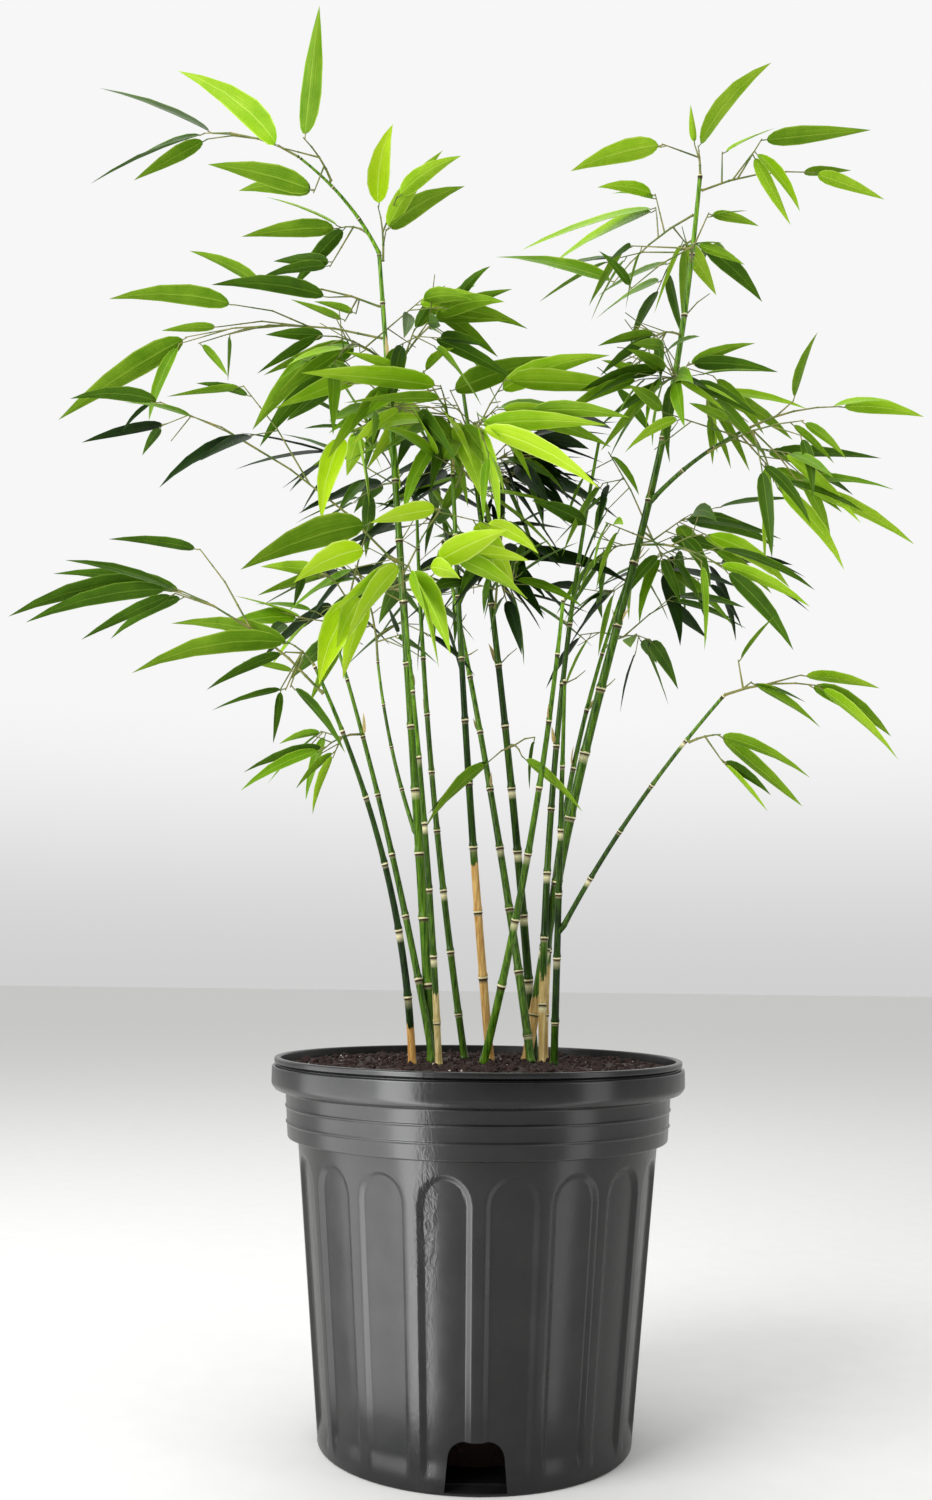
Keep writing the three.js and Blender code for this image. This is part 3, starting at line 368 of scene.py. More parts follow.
class Parts:
    """Small meshes gathered into one, with points in millimetres. shown gives each face's look;
    uv and marks hold a row for each point."""

    def __init__(self):
        self.points, self.faces, self.shown, self.uv, self.marks = [], [], [], [], []
        self.count = 0

    def add(self, points, faces, shown=None, uv=None, marks=None):
        self.points.append(points)
        self.faces += [[i + self.count for i in face] for face in faces]
        self.shown += shown or [0] * len(faces)
        self.uv += [] if uv is None else [uv]
        self.marks += [] if marks is None else [marks]
        self.count += len(points)

    def piece(self, name, looks, marks=()):
        mesh = bpy.data.meshes.new(name)
        mesh.from_pydata((np.concatenate(self.points) * MM).tolist(), [], self.faces)
        for look in looks:
            mesh.materials.append(look)
        mesh.polygons.foreach_set("material_index", np.asarray(self.shown, np.int32))
        if self.uv:
            corner = np.zeros(len(mesh.loops), np.int32)
            mesh.loops.foreach_get("vertex_index", corner)
            uv = np.concatenate(self.uv).astype(np.float32)
            mesh.uv_layers.new(name="UVMap").data.foreach_set("uv", uv[corner].ravel())
        for i, mark in enumerate(marks):
            values = np.concatenate(self.marks)[:, i].astype(np.float32)
            mesh.attributes.new(mark, "FLOAT", "POINT").data.foreach_set("value", values)
        piece = bpy.data.objects.new(name, mesh)
        bpy.context.scene.collection.objects.link(piece)
        return piece


# ---- materials ----------------------------------------------------------------------------
def linear(code):
    """A linear colour from an sRGB hex code."""
    parts = [int(code[i : i + 2], 16) / 255 for i in (1, 3, 5)]
    return [c / 12.92 if c <= 0.04045 else ((c + 0.055) / 1.055) ** 2.4 for c in parts] + [1]


def add(tree, kind, inputs=None, **settings):
    """Adds a node with its settings, and gives its outputs. An input is a number, an sRGB hex
    code, an output, or a node's outputs, which stand for the first in use. Mixes are of colours."""
    made = tree.nodes.new("ShaderNode" + kind)
    if kind == "Mix":
        made.data_type = "RGBA"
    for name, value in settings.items():
        setattr(made, name, value)
    for key, value in (inputs or {}).items():
        socket = made.inputs[key] if isinstance(key, int) else next(
            s for s in made.inputs if s.enabled and s.name == key)
        if isinstance(value, bpy.types.bpy_prop_collection):
            value = next(s for s in value if s.enabled)
        if isinstance(value, bpy.types.NodeSocket):
            tree.links.new(value, socket)
        else:
            socket.default_value = linear(value) if isinstance(value, str) else value
    return made.outputs


def material(describe, name=None, *given):
    """A material from the function that describes its nodes, whose name it has if none is given."""
    look = bpy.data.materials.new(name or describe.__name__)
    look.use_nodes = True
    look.node_tree.nodes.clear()
    node = partial(add, look.node_tree)
    node("OutputMaterial", {"Surface": describe(node, *given)})
    return look


# The pot's wall is creased in a strip down its front, most of all at one height.
CREASED_X = -32 * MM
CREASED_Z = 158 * MM


def moulded_plastic(node):
    """Black polypropylene, injection moulded: a semi-gloss skin with a faint orange peel, greyed
    by a little dust, and creased in a strip down the front."""
    place = node("TexCoord")["Object"]
    peel = node("TexNoise", {"Vector": place, "Scale": 1 / (2.2 * MM), "Detail": 3.0})
    waves = node("TexNoise", {"Vector": place, "Scale": 1 / (14 * MM), "Detail": 2.0})
    dust = node("TexNoise", {"Vector": place, "Scale": 1 / (30 * MM), "Detail": 8.0, "Roughness": 0.7})
    settled = node("MapRange", {"Value": dust, "From Min": 0.45, "From Max": 0.75})
    colour = node("Mix", {"Factor": settled, "A": "#0d0e0e", "B": "#181918"})
    matt = node("MapRange", {"Value": dust, "From Min": 0.3, "From Max": 0.8, "To Min": 0.26,
            "To Max": 0.38})
    slow = node("Bump", {"Height": waves, "Strength": 0.35, "Distance": 0.5 * MM})
    skin = node("Bump", {"Height": peel, "Strength": 0.3, "Distance": 0.12 * MM, "Normal": slow})
    at = node("SeparateXYZ", {0: place})
    aside = node("Math", {0: at["X"], 1: CREASED_X}, operation="SUBTRACT")
    aside = node("Math", {0: aside}, operation="ABSOLUTE")
    above = node("Math", {0: at["Z"], 1: CREASED_Z}, operation="SUBTRACT")
    above = node("Math", {0: above}, operation="ABSOLUTE")
    strip = node("MapRange", {"Value": aside, "From Min": 9 * MM, "From Max": 3 * MM})
    front = node("MapRange", {"Value": at["Y"], "From Min": 0.0, "From Max": -20 * MM})
    worst = node("MapRange", {"Value": above, "From Min": 48 * MM, "From Max": 12 * MM,
            "To Min": 0.2, "To Max": 1.0})
    patch = node("Math", {0: strip, 1: front}, operation="MULTIPLY")
    patch = node("Math", {0: patch, 1: worst}, operation="MULTIPLY")
    drawn_up = node("Mapping", {"Vector": place, "Scale": (1 / (4 * MM), 1 / (4 * MM), 1 / (9 * MM))})
    folds = node("TexNoise", {"Vector": drawn_up, "Scale": 1.0, "Detail": 3.0, "Distortion": 1.5})
    level = node("Math", {0: folds, 1: 0.5}, operation="SUBTRACT")
    lifted = node("Math", {0: level, 1: patch}, operation="MULTIPLY")
    creased = node("Bump", {"Height": lifted, "Strength": 0.7, "Distance": 1.4 * MM, "Normal": skin})
    return node("BsdfPrincipled", {"Base Color": colour, "Roughness": matt, "Normal": creased,
            "IOR": 1.49, "Specular IOR Level": 0.42})


def potting_compost(node):
    """Damp peat and bark compost: near-black brown crumbs with a few lighter fibres."""
    place = node("TexCoord")["Object"]
    grain = node("TexNoise", {"Vector": place, "Scale": 1 / (2.5 * MM), "Detail": 6.0, "Roughness": 0.7})
    patch = node("TexNoise", {"Vector": place, "Scale": 1 / (18 * MM), "Detail": 3.0})
    light = node("MapRange", {"Value": grain, "From Min": 0.45, "From Max": 0.75})
    crumb = node("Mix", {"Factor": light, "A": "#1a0e0a", "B": "#55342a"})
    damp = node("MapRange", {"Value": patch, "From Min": 0.4, "From Max": 0.65})
    colour = node("Mix", {"Factor": damp, "A": crumb, "B": "#2a1a14"})
    rough = node("Bump", {"Height": grain, "Strength": 0.8, "Distance": 0.8 * MM})
    return node("BsdfPrincipled", {"Base Color": colour, "Roughness": 0.92, "Normal": rough})


def expanded_perlite(node):
    """Perlite in the compost: chalky off-white grains, pitted and a little soiled."""
    place = node("TexCoord")["Object"]
    pits = node("TexNoise", {"Vector": place, "Scale": 1 / (1.2 * MM), "Detail": 4.0})
    soiled = node("MapRange", {"Value": pits, "From Min": 0.35, "From Max": 0.6})
    colour = node("Mix", {"Factor": soiled, "A": "#8d7f6c", "B": "#d8d3c8"})
    rough = node("Bump", {"Height": pits, "Strength": 0.7, "Distance": 0.4 * MM})
    return node("BsdfPrincipled", {"Base Color": colour, "Roughness": 0.95, "Normal": rough})


def bamboo_cane(node):
    """Living bamboo cane: a hard, waxy green skin with fine lengthwise streaks, a white bloom
    under each node, a dark scar on it, and dry straw-coloured sheaths round the old foot.
    The marks on the mesh say where: fresh, bloom, scar, dry and tan, each from 0 to 1."""
    place = node("TexCoord")["Object"]
    mark = {m: node("Attribute", attribute_name=m)["Fac"] for m in CANE_MARKS}
    drawn_out = node("Mapping", {"Vector": place, "Scale": (1, 1, 0.06)})
    streak = node("TexNoise", {"Vector": drawn_out, "Scale": 1 / (1.4 * MM), "Detail": 4.0,
            "Roughness": 0.6})
    even = node("MapRange", {"Value": streak, "From Min": 0.35, "From Max": 0.65})
    patch = node("TexNoise", {"Vector": place, "Scale": 1 / (9 * MM), "Detail": 4.0})
    deep = node("Mix", {"Factor": even, "A": "#081403", "B": "#1f3f09"})
    young = node("Mix", {"Factor": even, "A": "#30600c", "B": "#84b42c"})
    green = node("Mix", {"Factor": mark["fresh"], "A": deep, "B": young})
    cream = node("Mix", {"Factor": even, "A": "#a99a58", "B": "#ebdfa4"})
    amber = node("Mix", {"Factor": even, "A": "#a8641f", "B": "#dfae5c"})
    straw = node("Mix", {"Factor": mark["tan"], "A": cream, "B": amber})
    worn = node("Math", {0: patch, 1: 0.8, 2: mark["dry"]}, operation="MULTIPLY_ADD")
    frayed = node("Math", {0: streak, 1: 0.8, 2: worn}, operation="MULTIPLY_ADD")
    sheathed = node("MapRange", {"Value": frayed, "From Min": 1.34, "From Max": 1.44})
    skin = node("Mix", {"Factor": sheathed, "A": green, "B": straw})
    waxed = node("Mix", {"Factor": mark["bloom"], "A": skin, "B": "#e4dcae"})
    colour = node("Mix", {"Factor": mark["scar"], "A": waxed, "B": "#32230f"})
    matt = node("MapRange", {"Value": sheathed, "To Min": 0.26, "To Max": 0.7})
    fibre = node("Bump", {"Height": streak, "Strength": 0.35, "Distance": 0.15 * MM})
    return node("BsdfPrincipled", {"Base Color": colour, "Roughness": matt, "Normal": fibre,
            "IOR": 1.45, "Specular IOR Level": 0.22})


def twig_bark(node):
    """Young bamboo twigs: smooth straw-green wood."""
    place = node("TexCoord")["Object"]
    patch = node("TexNoise", {"Vector": place, "Scale": 1 / (12 * MM), "Detail": 3.0})
    spread = node("MapRange", {"Value": patch, "From Min": 0.35, "From Max": 0.65})
    colour = node("Mix", {"Factor": spread, "A": "#4c6a1c", "B": "#8f8a48"})
    grain = node("TexNoise", {"Vector": place, "Scale": 1 / (0.8 * MM), "Detail": 2.0})
    skin = node("Bump", {"Height": grain, "Strength": 0.2, "Distance": 0.1 * MM})
    return node("BsdfPrincipled", {"Base Color": colour, "Roughness": 0.5, "Normal": skin, "IOR": 1.45})


VEINS = 9  # across a blade, far fewer than a real one has, so that they still show
RIB = 0.035  # half width of the midrib, of the blade's width
MARGIN = 0.075  # width of the pale edge, of the blade's width


def leaf_blade(node, dark, light, rib, matt):
    """One face of a bamboo leaf: a thin papery blade, ribbed along its length by parallel veins,
    paler towards its tip, with a paler midrib and margin and a soft waxy shine."""
    place = node("TexCoord")
    over = node("SeparateXYZ", {0: place["UV"]})
    mottle = node("TexNoise", {"Vector": place["Object"], "Scale": 1 / (26 * MM), "Detail": 4.0,
            "Roughness": 0.6})
    paling = node("Math", {0: over["Y"], 1: 0.3, 2: mottle}, operation="MULTIPLY_ADD")
    spread = node("MapRange", {"Value": paling, "From Min": 0.38, "From Max": 0.8})
    ground = node("Mix", {"Factor": spread, "A": dark, "B": light})
    turn = node("Math", {0: over["X"], 1: 2 * math.pi * VEINS}, operation="MULTIPLY")
    vein = node("Math", {0: turn}, operation="SINE")
    raised = node("MapRange", {"Value": vein, "From Min": -1.0, "From Max": 1.0})
    drawn_out = node("Mapping", {"Vector": place["UV"], "Scale": (1.6 * VEINS, 1.3, 1)})
    streak = node("TexNoise", {"Vector": drawn_out, "Scale": 1.0, "Detail": 3.0})
    depth = node("MapRange", {"Value": streak, "From Min": 0.35, "From Max": 0.65, "To Min": 0.05,
            "To Max": 0.65})
    shade = node("Math", {0: raised, 1: depth}, operation="MULTIPLY")
    veined = node("Mix", {"Factor": shade, "A": ground, "B": dark})
    off = node("Math", {0: over["X"], 1: 0.5}, operation="SUBTRACT")
    away = node("Math", {0: off}, operation="ABSOLUTE")
    on_rib = node("MapRange", {"Value": away, "From Min": RIB, "From Max": 0.4 * RIB, "To Max": 0.35})
    on_margin = node("MapRange", {"Value": away, "From Min": 0.5 - MARGIN, "From Max": 0.5, "To Max": 0.65})
    paler = node("Math", {0: on_rib, 1: on_margin}, operation="MAXIMUM")
    colour = node("Mix", {"Factor": paler, "A": veined, "B": rib})
    relief = node("Bump", {"Height": raised, "Strength": 0.25, "Distance": 0.06 * MM})
    return node("BsdfPrincipled", {"Base Color": colour, "Roughness": matt, "Normal": relief,
            "IOR": 1.42, "Specular IOR Level": 0.12})


def studio_paper(node):
    """The floor: a seamless sheet of pale matt paper."""
    place = node("TexCoord")["Object"]
    fibre = node("TexNoise", {"Vector": place, "Scale": 40.0, "Detail": 4.0})
    colour = node("Mix", {"Factor": fibre, "A": "#eeeeec", "B": "#f4f4f2"})
    return node("BsdfPrincipled", {"Base Color": colour, "Roughness": 0.9})


# ---- the pot ------------------------------------------------------------------------------
def wall_radius(z):
    return FOOT_R + WALL_LEAN * z


def shoulder_radius(z):
    return SHOULDER_R + SHOULDER_LEAN * (z - BODY_TOP_Z - SHOULDER_STEP)


def rounded(corners, steps=5):
    """A profile's corners, each (radius, height, rounding), with the rounded ones drawn as curves."""
    profile = []
    for i, (radius, z, rounding) in enumerate(corners):
        here = Vector((radius, z))
        if not rounding:
            profile.append(here)
            continue
        before = here + (Vector(corners[i - 1][:2]) - here).normalized() * rounding
        after = here + (Vector(corners[i + 1][:2]) - here).normalized() * rounding
        for k in range(steps + 1):
            t = k / steps
            profile.append(before * (1 - t) ** 2 + here * 2 * t * (1 - t) + after * t * t)
    return profile


# Offsets from a panel's middle, in degrees, of the mesh's columns: land, side, floor.
SIDE_STEPS = 7
FLOOR_COLUMNS = (4.6, 3.0, 1.5)
HALF_PANEL = [9.3] + [lerp(PANEL_HALF, PANEL_FLOOR_HALF, k / SIDE_STEPS) for k in range(SIDE_STEPS + 1)]
HALF_PANEL += FLOOR_COLUMNS
COLUMNS = [-10.0] + [-a for a in HALF_PANEL] + [0.0] + HALF_PANEL[::-1]
# The rows of that mesh, by height or by share of the way.
FOOT_ROWS = (2.2, 4.0, PANEL_FOOT_Z)
RAMP_ROWS = (0.15, 0.3, 0.5, 0.7, 0.85, 1)
STRAIGHT_ROWS = 10
ARCH_ROWS = (0.2, 0.4, 0.6, 0.8, 1)
HEAD_ROWS = (0.2, 0.45, 0.7, 1)
HEAD_Z = BODY_TOP_Z - 0.8
CREEP = 0.04  # between rows that would meet where the arch springs from the panel's side
TIGHT = 0.12  # share of a panel's side that is rounded at either end


def smoothed(t):
    return t * t * (3 - 2 * t)


def ease(t):
    """The panel's side in section: 1 at its floor, 0 at the land, rounded tightly into both."""
    t = np.clip(t, 0, 1)
    steep = np.clip((t - TIGHT) / (1 - 2 * TIGHT), 0, 1)
    return 1 - 0.8 * steep - 0.2 * smoothed(t)


def panel_rows(offset):
    """Rows of (height, depth) up the panelled wall, for columns at these offsets."""
    side = np.clip((offset - PANEL_FLOOR_HALF) / (PANEL_HALF - PANEL_FLOOR_HALF), 0, 1)
    depth = PANEL_DEPTH * ease(side)
    flat = np.ones_like(offset)
    rows = [(z * flat, 0 * flat) for z in FOOT_ROWS]
    rows += [((PANEL_FOOT_Z + PANEL_RAMP * share) * flat, depth * smoothed(share)) for share in RAMP_ROWS]
    straight = ARCH_Z - PANEL_FOOT_Z - PANEL_RAMP
    rows += [((ARCH_Z - straight * (1 - k / STRAIGHT_ROWS)) * flat, depth)
             for k in range(1, STRAIGHT_ROWS + 1)]

    def arch(t):
        """Height of the arch that stands at share t of the side, over its columns."""
        half = lerp(PANEL_FLOOR_HALF, PANEL_HALF, t)
        rise = lerp(ARCH_FLOOR_RISE, ARCH_RISE, t)
        return ARCH_Z + rise * np.sqrt(np.clip(1 - (offset / half) ** 2, 0, 1))

    crept = ARCH_Z
    for share in ARCH_ROWS:
        crept += CREEP
        rows.append((np.maximum(lerp(ARCH_Z, arch(0), share), crept), depth))
    for k in range(1, SIDE_STEPS + 1):
        crept += CREEP
        t = np.maximum(side, k / SIDE_STEPS)
        rows.append((np.maximum(arch(t), crept), PANEL_DEPTH * ease(t)))
    last = rows[-1][0]
    return rows + [(lerp(last, HEAD_Z, share), 0 * flat) for share in HEAD_ROWS]


CUTTER_DEEP = 30  # through the wall, about the radius that the wall has at CUTTER_Z
CUTTER_Z = 15
CUTTER_NARROWING = 0.86  # of an arch's head over its foot
CUTTER_ROUNDING = 9


def select_only(piece, kind, test):
    """Goes into edit mode with only those of a mesh's vertices or edges selected that pass."""
    bpy.ops.object.mode_set(mode="EDIT")
    bpy.ops.mesh.select_all(action="DESELECT")
    bpy.ops.object.mode_set(mode="OBJECT")
    for item in getattr(piece.data, kind):
        item.select = test(item)
    bpy.ops.object.mode_set(mode="EDIT")


def drain_cutters():
    """Arches on their flat feet, one for each drain hole."""
    middle = (DRAIN_Z + DRAIN_TOP_Z) / 2 * MM
    cutter = model(bpy.ops.mesh.primitive_cube_add, "drain_cutter", size=1,
                   location=(0, -wall_radius(CUTTER_Z) * MM, middle))
    cutter.scale = (DRAIN_WIDTH * MM, CUTTER_DEEP * MM, (DRAIN_TOP_Z - DRAIN_Z) * MM)
    bpy.ops.object.transform_apply(location=True, rotation=True, scale=True)

    def heads_length(edge):
        a, b = (cutter.data.vertices[i].co for i in edge.vertices)
        return a.z > middle and b.z > middle and abs(a.x - b.x) < MM

    select_only(cutter, "vertices", lambda v: v.co.z > middle)
    bpy.ops.transform.resize(value=(CUTTER_NARROWING, 1, 1))
    select_only(cutter, "edges", heads_length)
    bpy.ops.mesh.bevel(offset=CUTTER_ROUNDING * MM, segments=6, affect="EDGES")
    bpy.ops.object.mode_set(mode="OBJECT")
    cutters = [cutter]
    for i in range(1, DRAINS):
        copy = cutter.copy()
        copy.data = cutter.data.copy()
        copy.data.transform(Matrix.Rotation(2 * math.pi * i / DRAINS, 4, "Z"))
        bpy.context.scene.collection.objects.link(copy)
        cutters.append(copy)
    pick(*cutters)
    bpy.ops.object.join()
    return bpy.context.active_object


def pot(plastic):
    """One moulded wall: up the inside, over the lip, and down the panelled outside to the foot."""
    angle = np.array([-90 + 360 * (i + 0.5) / PANELS + c for i in range(PANELS) for c in COLUMNS])
    angle = np.append(angle, angle[0] + 360)
    offset = np.abs(np.array(COLUMNS * PANELS + [COLUMNS[0]]))
    flat = np.ones_like(offset)
    profile = [
        (0, FLOOR, 0),
        (INNER_FOOT_R, FLOOR, 1),
        (INNER_TOP_R, BODY_TOP_Z - 1, 1),
        (SHOULDER_R - WALL - 0.6, BODY_TOP_Z + 3, 1),
        (shoulder_radius(SHOULDER_TOP_Z) - WALL, SHOULDER_TOP_Z - 0.5, 1),
        (BAND_R - BAND_WIDTH, BAND_Z + 2, 1),
        (LIP_R - LIP_WIDTH, LIP_Z, 1.2),
        (LIP_R, LIP_Z, 1.3),
        (LIP_R, LIP_Z - 3.4, 0.8),
        (LIP_R - 2.0, BAND_TOP_Z + 0.9, 0.5),
        (LIP_R - 2.0, BAND_TOP_Z + 0.1, 0.3),
        (BAND_R, BAND_TOP_Z, 1.2),
        (BAND_R, BAND_Z + 3.2, 1.6),
        (BAND_R - 2.6, BAND_Z, 0.8),
        (shoulder_radius(SHOULDER_TOP_Z), SHOULDER_TOP_Z, 1.2),
    ]
    for ridge in reversed(RIDGES_Z):
        for off, high, rounding in ((RIDGE_HALF, 0, 0.3), (0, RIDGE_HEIGHT, 0.4), (-RIDGE_HALF, 0, 0.3)):
            profile.append((shoulder_radius(ridge + off) + high, ridge + off, rounding))
    profile += [(SHOULDER_R, BODY_TOP_Z + 1.2, 1.1), (wall_radius(BODY_TOP_Z), BODY_TOP_Z, 0)]
    under = rounded([(wall_radius(2), 2, 0), (FOOT_R, 0, 1.6), (FOOT_R - 6, 0, 0), (0, 0, 0)])[1:]
    rows = [(p.x * flat, p.y * flat) for p in rounded(profile)]
    rows += [(wall_radius(z) - depth, z) for z, depth in reversed(panel_rows(offset))]
    rows += [(p.x * flat, p.y * flat) for p in under]

    piece = model(bpy.ops.mesh.primitive_grid_add, "pot_wall", x_subdivisions=len(angle) - 1,
                  y_subdivisions=len(rows) - 1, size=2)
    mesh = piece.data
    at = np.zeros(len(mesh.vertices) * 3)
    mesh.vertices.foreach_get("co", at)
    at = at.reshape(-1, 3)
    column = np.rint((at[:, 0] + 1) / 2 * (len(angle) - 1)).astype(int)
    row = np.rint((at[:, 1] + 1) / 2 * (len(rows) - 1)).astype(int)
    radius, height = (np.array(values)[row, column] for values in zip(*rows))
    a = np.radians(angle[column])
    at = np.stack([radius * np.cos(a), radius * np.sin(a), height], 1) * MM
    mesh.vertices.foreach_set("co", at.ravel())
    mesh.update()
    clean(piece)
    cutter = drain_cutters()
    pick(piece)
    holes = piece.modifiers.new("drains", "BOOLEAN")
    holes.operation = "DIFFERENCE"
    holes.object = cutter
    bpy.ops.object.modifier_apply(modifier=holes.name)
    bpy.data.objects.remove(cutter)
    mesh.materials.append(plastic)
    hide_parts("pot")
    return settle(piece, 28)


# ---- the compost --------------------------------------------------------------------------
DISC_R = BAND_R - BAND_WIDTH - 0.4
COMPOST_FOOT_R = INNER_FOOT_R - 34
COMPOST_SIDES = 160
COMPOST_RINGS = 46
# Low mounds, hollows and crumbs: how far apart, how high, and a depth in the noise.
LIE = ((38, 1.5, 3.1), (9, 0.9, 7.7), (3.2, 0.5, 1.3))
# Loose lumps: how many, from and to what size, how far sunk, and a seed.
CRUMBS = (1700, (1.8, 5.5), 0.15, 4)
GRAINS = (70, (1.2, 2.6), 0.2, 5)
LUMP_STRETCH = (0.55, 1.25)
LUMP_KNOCKED = (0.75, 1.2)
LUMPS_OFF_WALL = 4


def lie_of(x, y):
    """Height of the compost, in low mounds and hollows."""
    z = SOIL_Z
    for span, height, layer in LIE:
        z += height * noise.noise(Vector((x / span, y / span, layer)))
    return z


def compost(look):
    foot_z = FLOOR + CLEAR
    piece = model(bpy.ops.mesh.primitive_circle_add, "compost", vertices=COMPOST_SIDES,
                  radius=COMPOST_FOOT_R * MM, fill_type="NGON", location=(0, 0, foot_z * MM))
    profile = [
        (COMPOST_FOOT_R, foot_z),
        (COMPOST_FOOT_R, DRAIN_TOP_Z + 6),
        (COMPOST_FOOT_R + 32, DRAIN_TOP_Z + 12),
        (INNER_TOP_R - 1, BODY_TOP_Z - 3),
        (shoulder_radius(SHOULDER_TOP_Z) - WALL - 2.5, SHOULDER_TOP_Z - 2),
        (DISC_R, BAND_Z + 4),
    ]
    profile += [(DISC_R * (1 - k / COMPOST_RINGS), SOIL_Z) for k in range(COMPOST_RINGS)]
    with editing(piece):
        draw_up(profile, MM)
        bpy.ops.mesh.poke()
    for v in piece.data.vertices:
        if v.co.z > (SOIL_Z - 0.5) * MM:
            v.co.z = lie_of(v.co.x / MM, v.co.y / MM) * MM
    clean(piece)
    piece.data.materials.append(look)
    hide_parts("soil")
    settle(piece, 60)


def scattered(name, look, count, sizes, sunk, seed):
    """Loose lumps on the compost: knocked-about pebbles, joined in one mesh."""
    rng = np.random.default_rng(seed)
    shape, faces = taken(model(bpy.ops.mesh.primitive_ico_sphere_add, "lump", subdivisions=1, radius=1))
    parts = Parts()
    for _ in range(count):
        reach = (DISC_R - LUMPS_OFF_WALL) * math.sqrt(rng.uniform())
        heading = rng.uniform(0, 2 * math.pi)
        x, y = reach * math.cos(heading), reach * math.sin(heading)
        size = rng.uniform(*sizes) / 2
        stretch = rng.uniform(*LUMP_STRETCH, 3) * size
        knocked = shape * rng.uniform(*LUMP_KNOCKED, (len(shape), 1)) * stretch
        spun = knocked @ np.array(Quaternion(rng.uniform(-1, 1, 4)).normalized().to_matrix())
        parts.add(spun + [x, y, lie_of(x, y) + size * sunk], faces)
    settle(parts.piece(name, [look]), 20)


# ---- limbs --------------------------------------------------------------------------------
def square_to(along):
    side = Vector((1, 0, 0)) if abs(along.z) > 0.9 else Vector((0, 0, 1))
    across = (side - along * side.dot(along)).normalized()
    return across, along.cross(across)


class Culm:
    """A culm's centre line, by its share of the height."""

    sides = CULM_SIDES

    def __init__(self, foot, tip, bow, sway, radius, shift):
        self.foot = Vector((*foot, GROUND_Z))
        self.tip = Vector(tip)
        self.bow = Vector((*bow, 0))
        self.sway, self.radius, self.shift = sway, radius, shift

    def point(self, share):
        at = self.foot.lerp(self.tip, share) + self.bow * (4 * share * (1 - share))
        at.x += self.sway * math.sin(2 * math.pi * share)
        return at

    def tangent(self, share):
        along = self.tip - self.foot + self.bow * (4 - 8 * share)
        along.x += self.sway * 2 * math.pi * math.cos(2 * math.pi * share)
        return along.normalized()

    def share_at(self, z):
        return clamp((z - self.foot.z) / (self.tip.z - self.foot.z))

    def girth(self, share):
        return self.radius * (1 - (1 - TIP_TAPER) * share**TAPER_POWER)

    def internodes(self):
        return round((self.tip.z - self.foot.z) / INTERNODE)

    def rings(self):
        count = self.internodes()
        rings = []
        for i in range(count + 1):
            swell = NODE_SWELL if 0 < i < count else 1
            rings.append((i / count, self.girth(i / count) * swell))
            if i < count:
                rings.append(((i + PLAIN_RING) / count, self.girth((i + PLAIN_RING) / count)))
        return rings


class Arc:
    """A quadratic curve."""

    def __init__(self, start, control, end):
        self.start, self.control, self.end = start, control, end

    def point(self, share):
        one = self.start * (1 - share) ** 2
        return one + self.control * (2 * share * (1 - share)) + self.end * share**2

    def tangent(self, share):
        return ((self.control - self.start) * (1 - share) + (self.end - self.control) * share).normalized()

    def points(self, steps):
        return [self.point(i / steps) for i in range(steps + 1)]


class Bough(Arc):
    sides = BOUGH_SIDES
    shift = 0

    def girth(self, share):
        return self.radius * (1 - (1 - BOUGH_TAPER) * share)

    def internodes(self):
        return max(3, round((self.end - self.start).length / (BOUGH_INTERNODE * INTERNODE)))

    def rings(self):
        return [(i / BOUGH_STEPS, self.girth(i / BOUGH_STEPS)) for i in range(BOUGH_STEPS + 1)]


def skin_away(host, share, out):
    """How far the faceted solid of a limb stands off its centre line, towards out."""
    rings = host.rings()
    after = max(1, next(i for i, (at, _) in enumerate(rings) if at >= share - 1e-9))
    (start, thick), (end, thin) = rings[after - 1], rings[after]
    across, up = square_to(host.tangent(share))
    corner = 2 * math.pi / host.sides
    turn = math.atan2(out.dot(up), out.dot(across)) / corner
    past = (turn - math.floor(turn) - 0.5) * corner
    radius = lerp(thick, thin, (share - start) / (end - start))
    return radius * math.cos(corner / 2) / math.cos(past)


def set_off(host, share, toward, radius):
    """Where a limb of this radius starts, just clear of its host's skin."""
    at = host.point(share)
    along = host.tangent(share)
    lean = along.dot(toward)
    if share >= 1:
        return at + along * (CLEAR + radius * math.sqrt(max(0, 1 - lean**2)))
    out = (toward - along * lean).normalized()
    return at + out * (skin_away(host, share, out) + CLEAR + radius * abs(lean))


def limb_curve(host, share, heading, rise, reach, spring, radius, kind):
    end = host.point(share) + aim(heading, rise) * reach
    toward = aim(heading, rise + spring)
    start = set_off(host, share, toward, radius)
    return kind(start, start + toward * (reach / 2), end)


# An internode in section: radius over the cane's, and height from its lower node.
JOINT = [
    (1.10, 0.0), (1.17, 0.5), (1.17, 1.4), (1.06, 2.6), (1.0, 4.5), (1.0, 9.0), (0.985, 16.0),
    (0.985, 30.0), (1.0, 38.0), (1.02, 43.0), (1.05, 45.2), (1.2, 45.7), (1.2, 46.4), (1.1, 46.6),
    (1.10, 47.0),
]
CANE_SIDES = 14
CANE_MARKS = ("fresh", "bloom", "scar", "dry", "tan")
UPPER_Z = 470.0  # above this the white bloom under a node is narrower
UPPER_BLOOM = (0.8, 2.8)
BLOOM = (1.2, 5.5)
BLOOM_FADE = 1.5
SCAR = (1.2, 1.9)  # how far below a node its dark ring is
FRAY = 22.0  # length of the torn upper edge of a dry sheath
FULLY_DRY = 1.1
YOUNG_FROM = 0.55  # share of the height where a cane starts to turn to its tip's young green
YOUNG = 0.8
FRESH_SPREAD = 0.12  # between one internode and another
COLLAR = (0.9, 1.12, 1.0)  # radii of a bough's foot over the bough's own
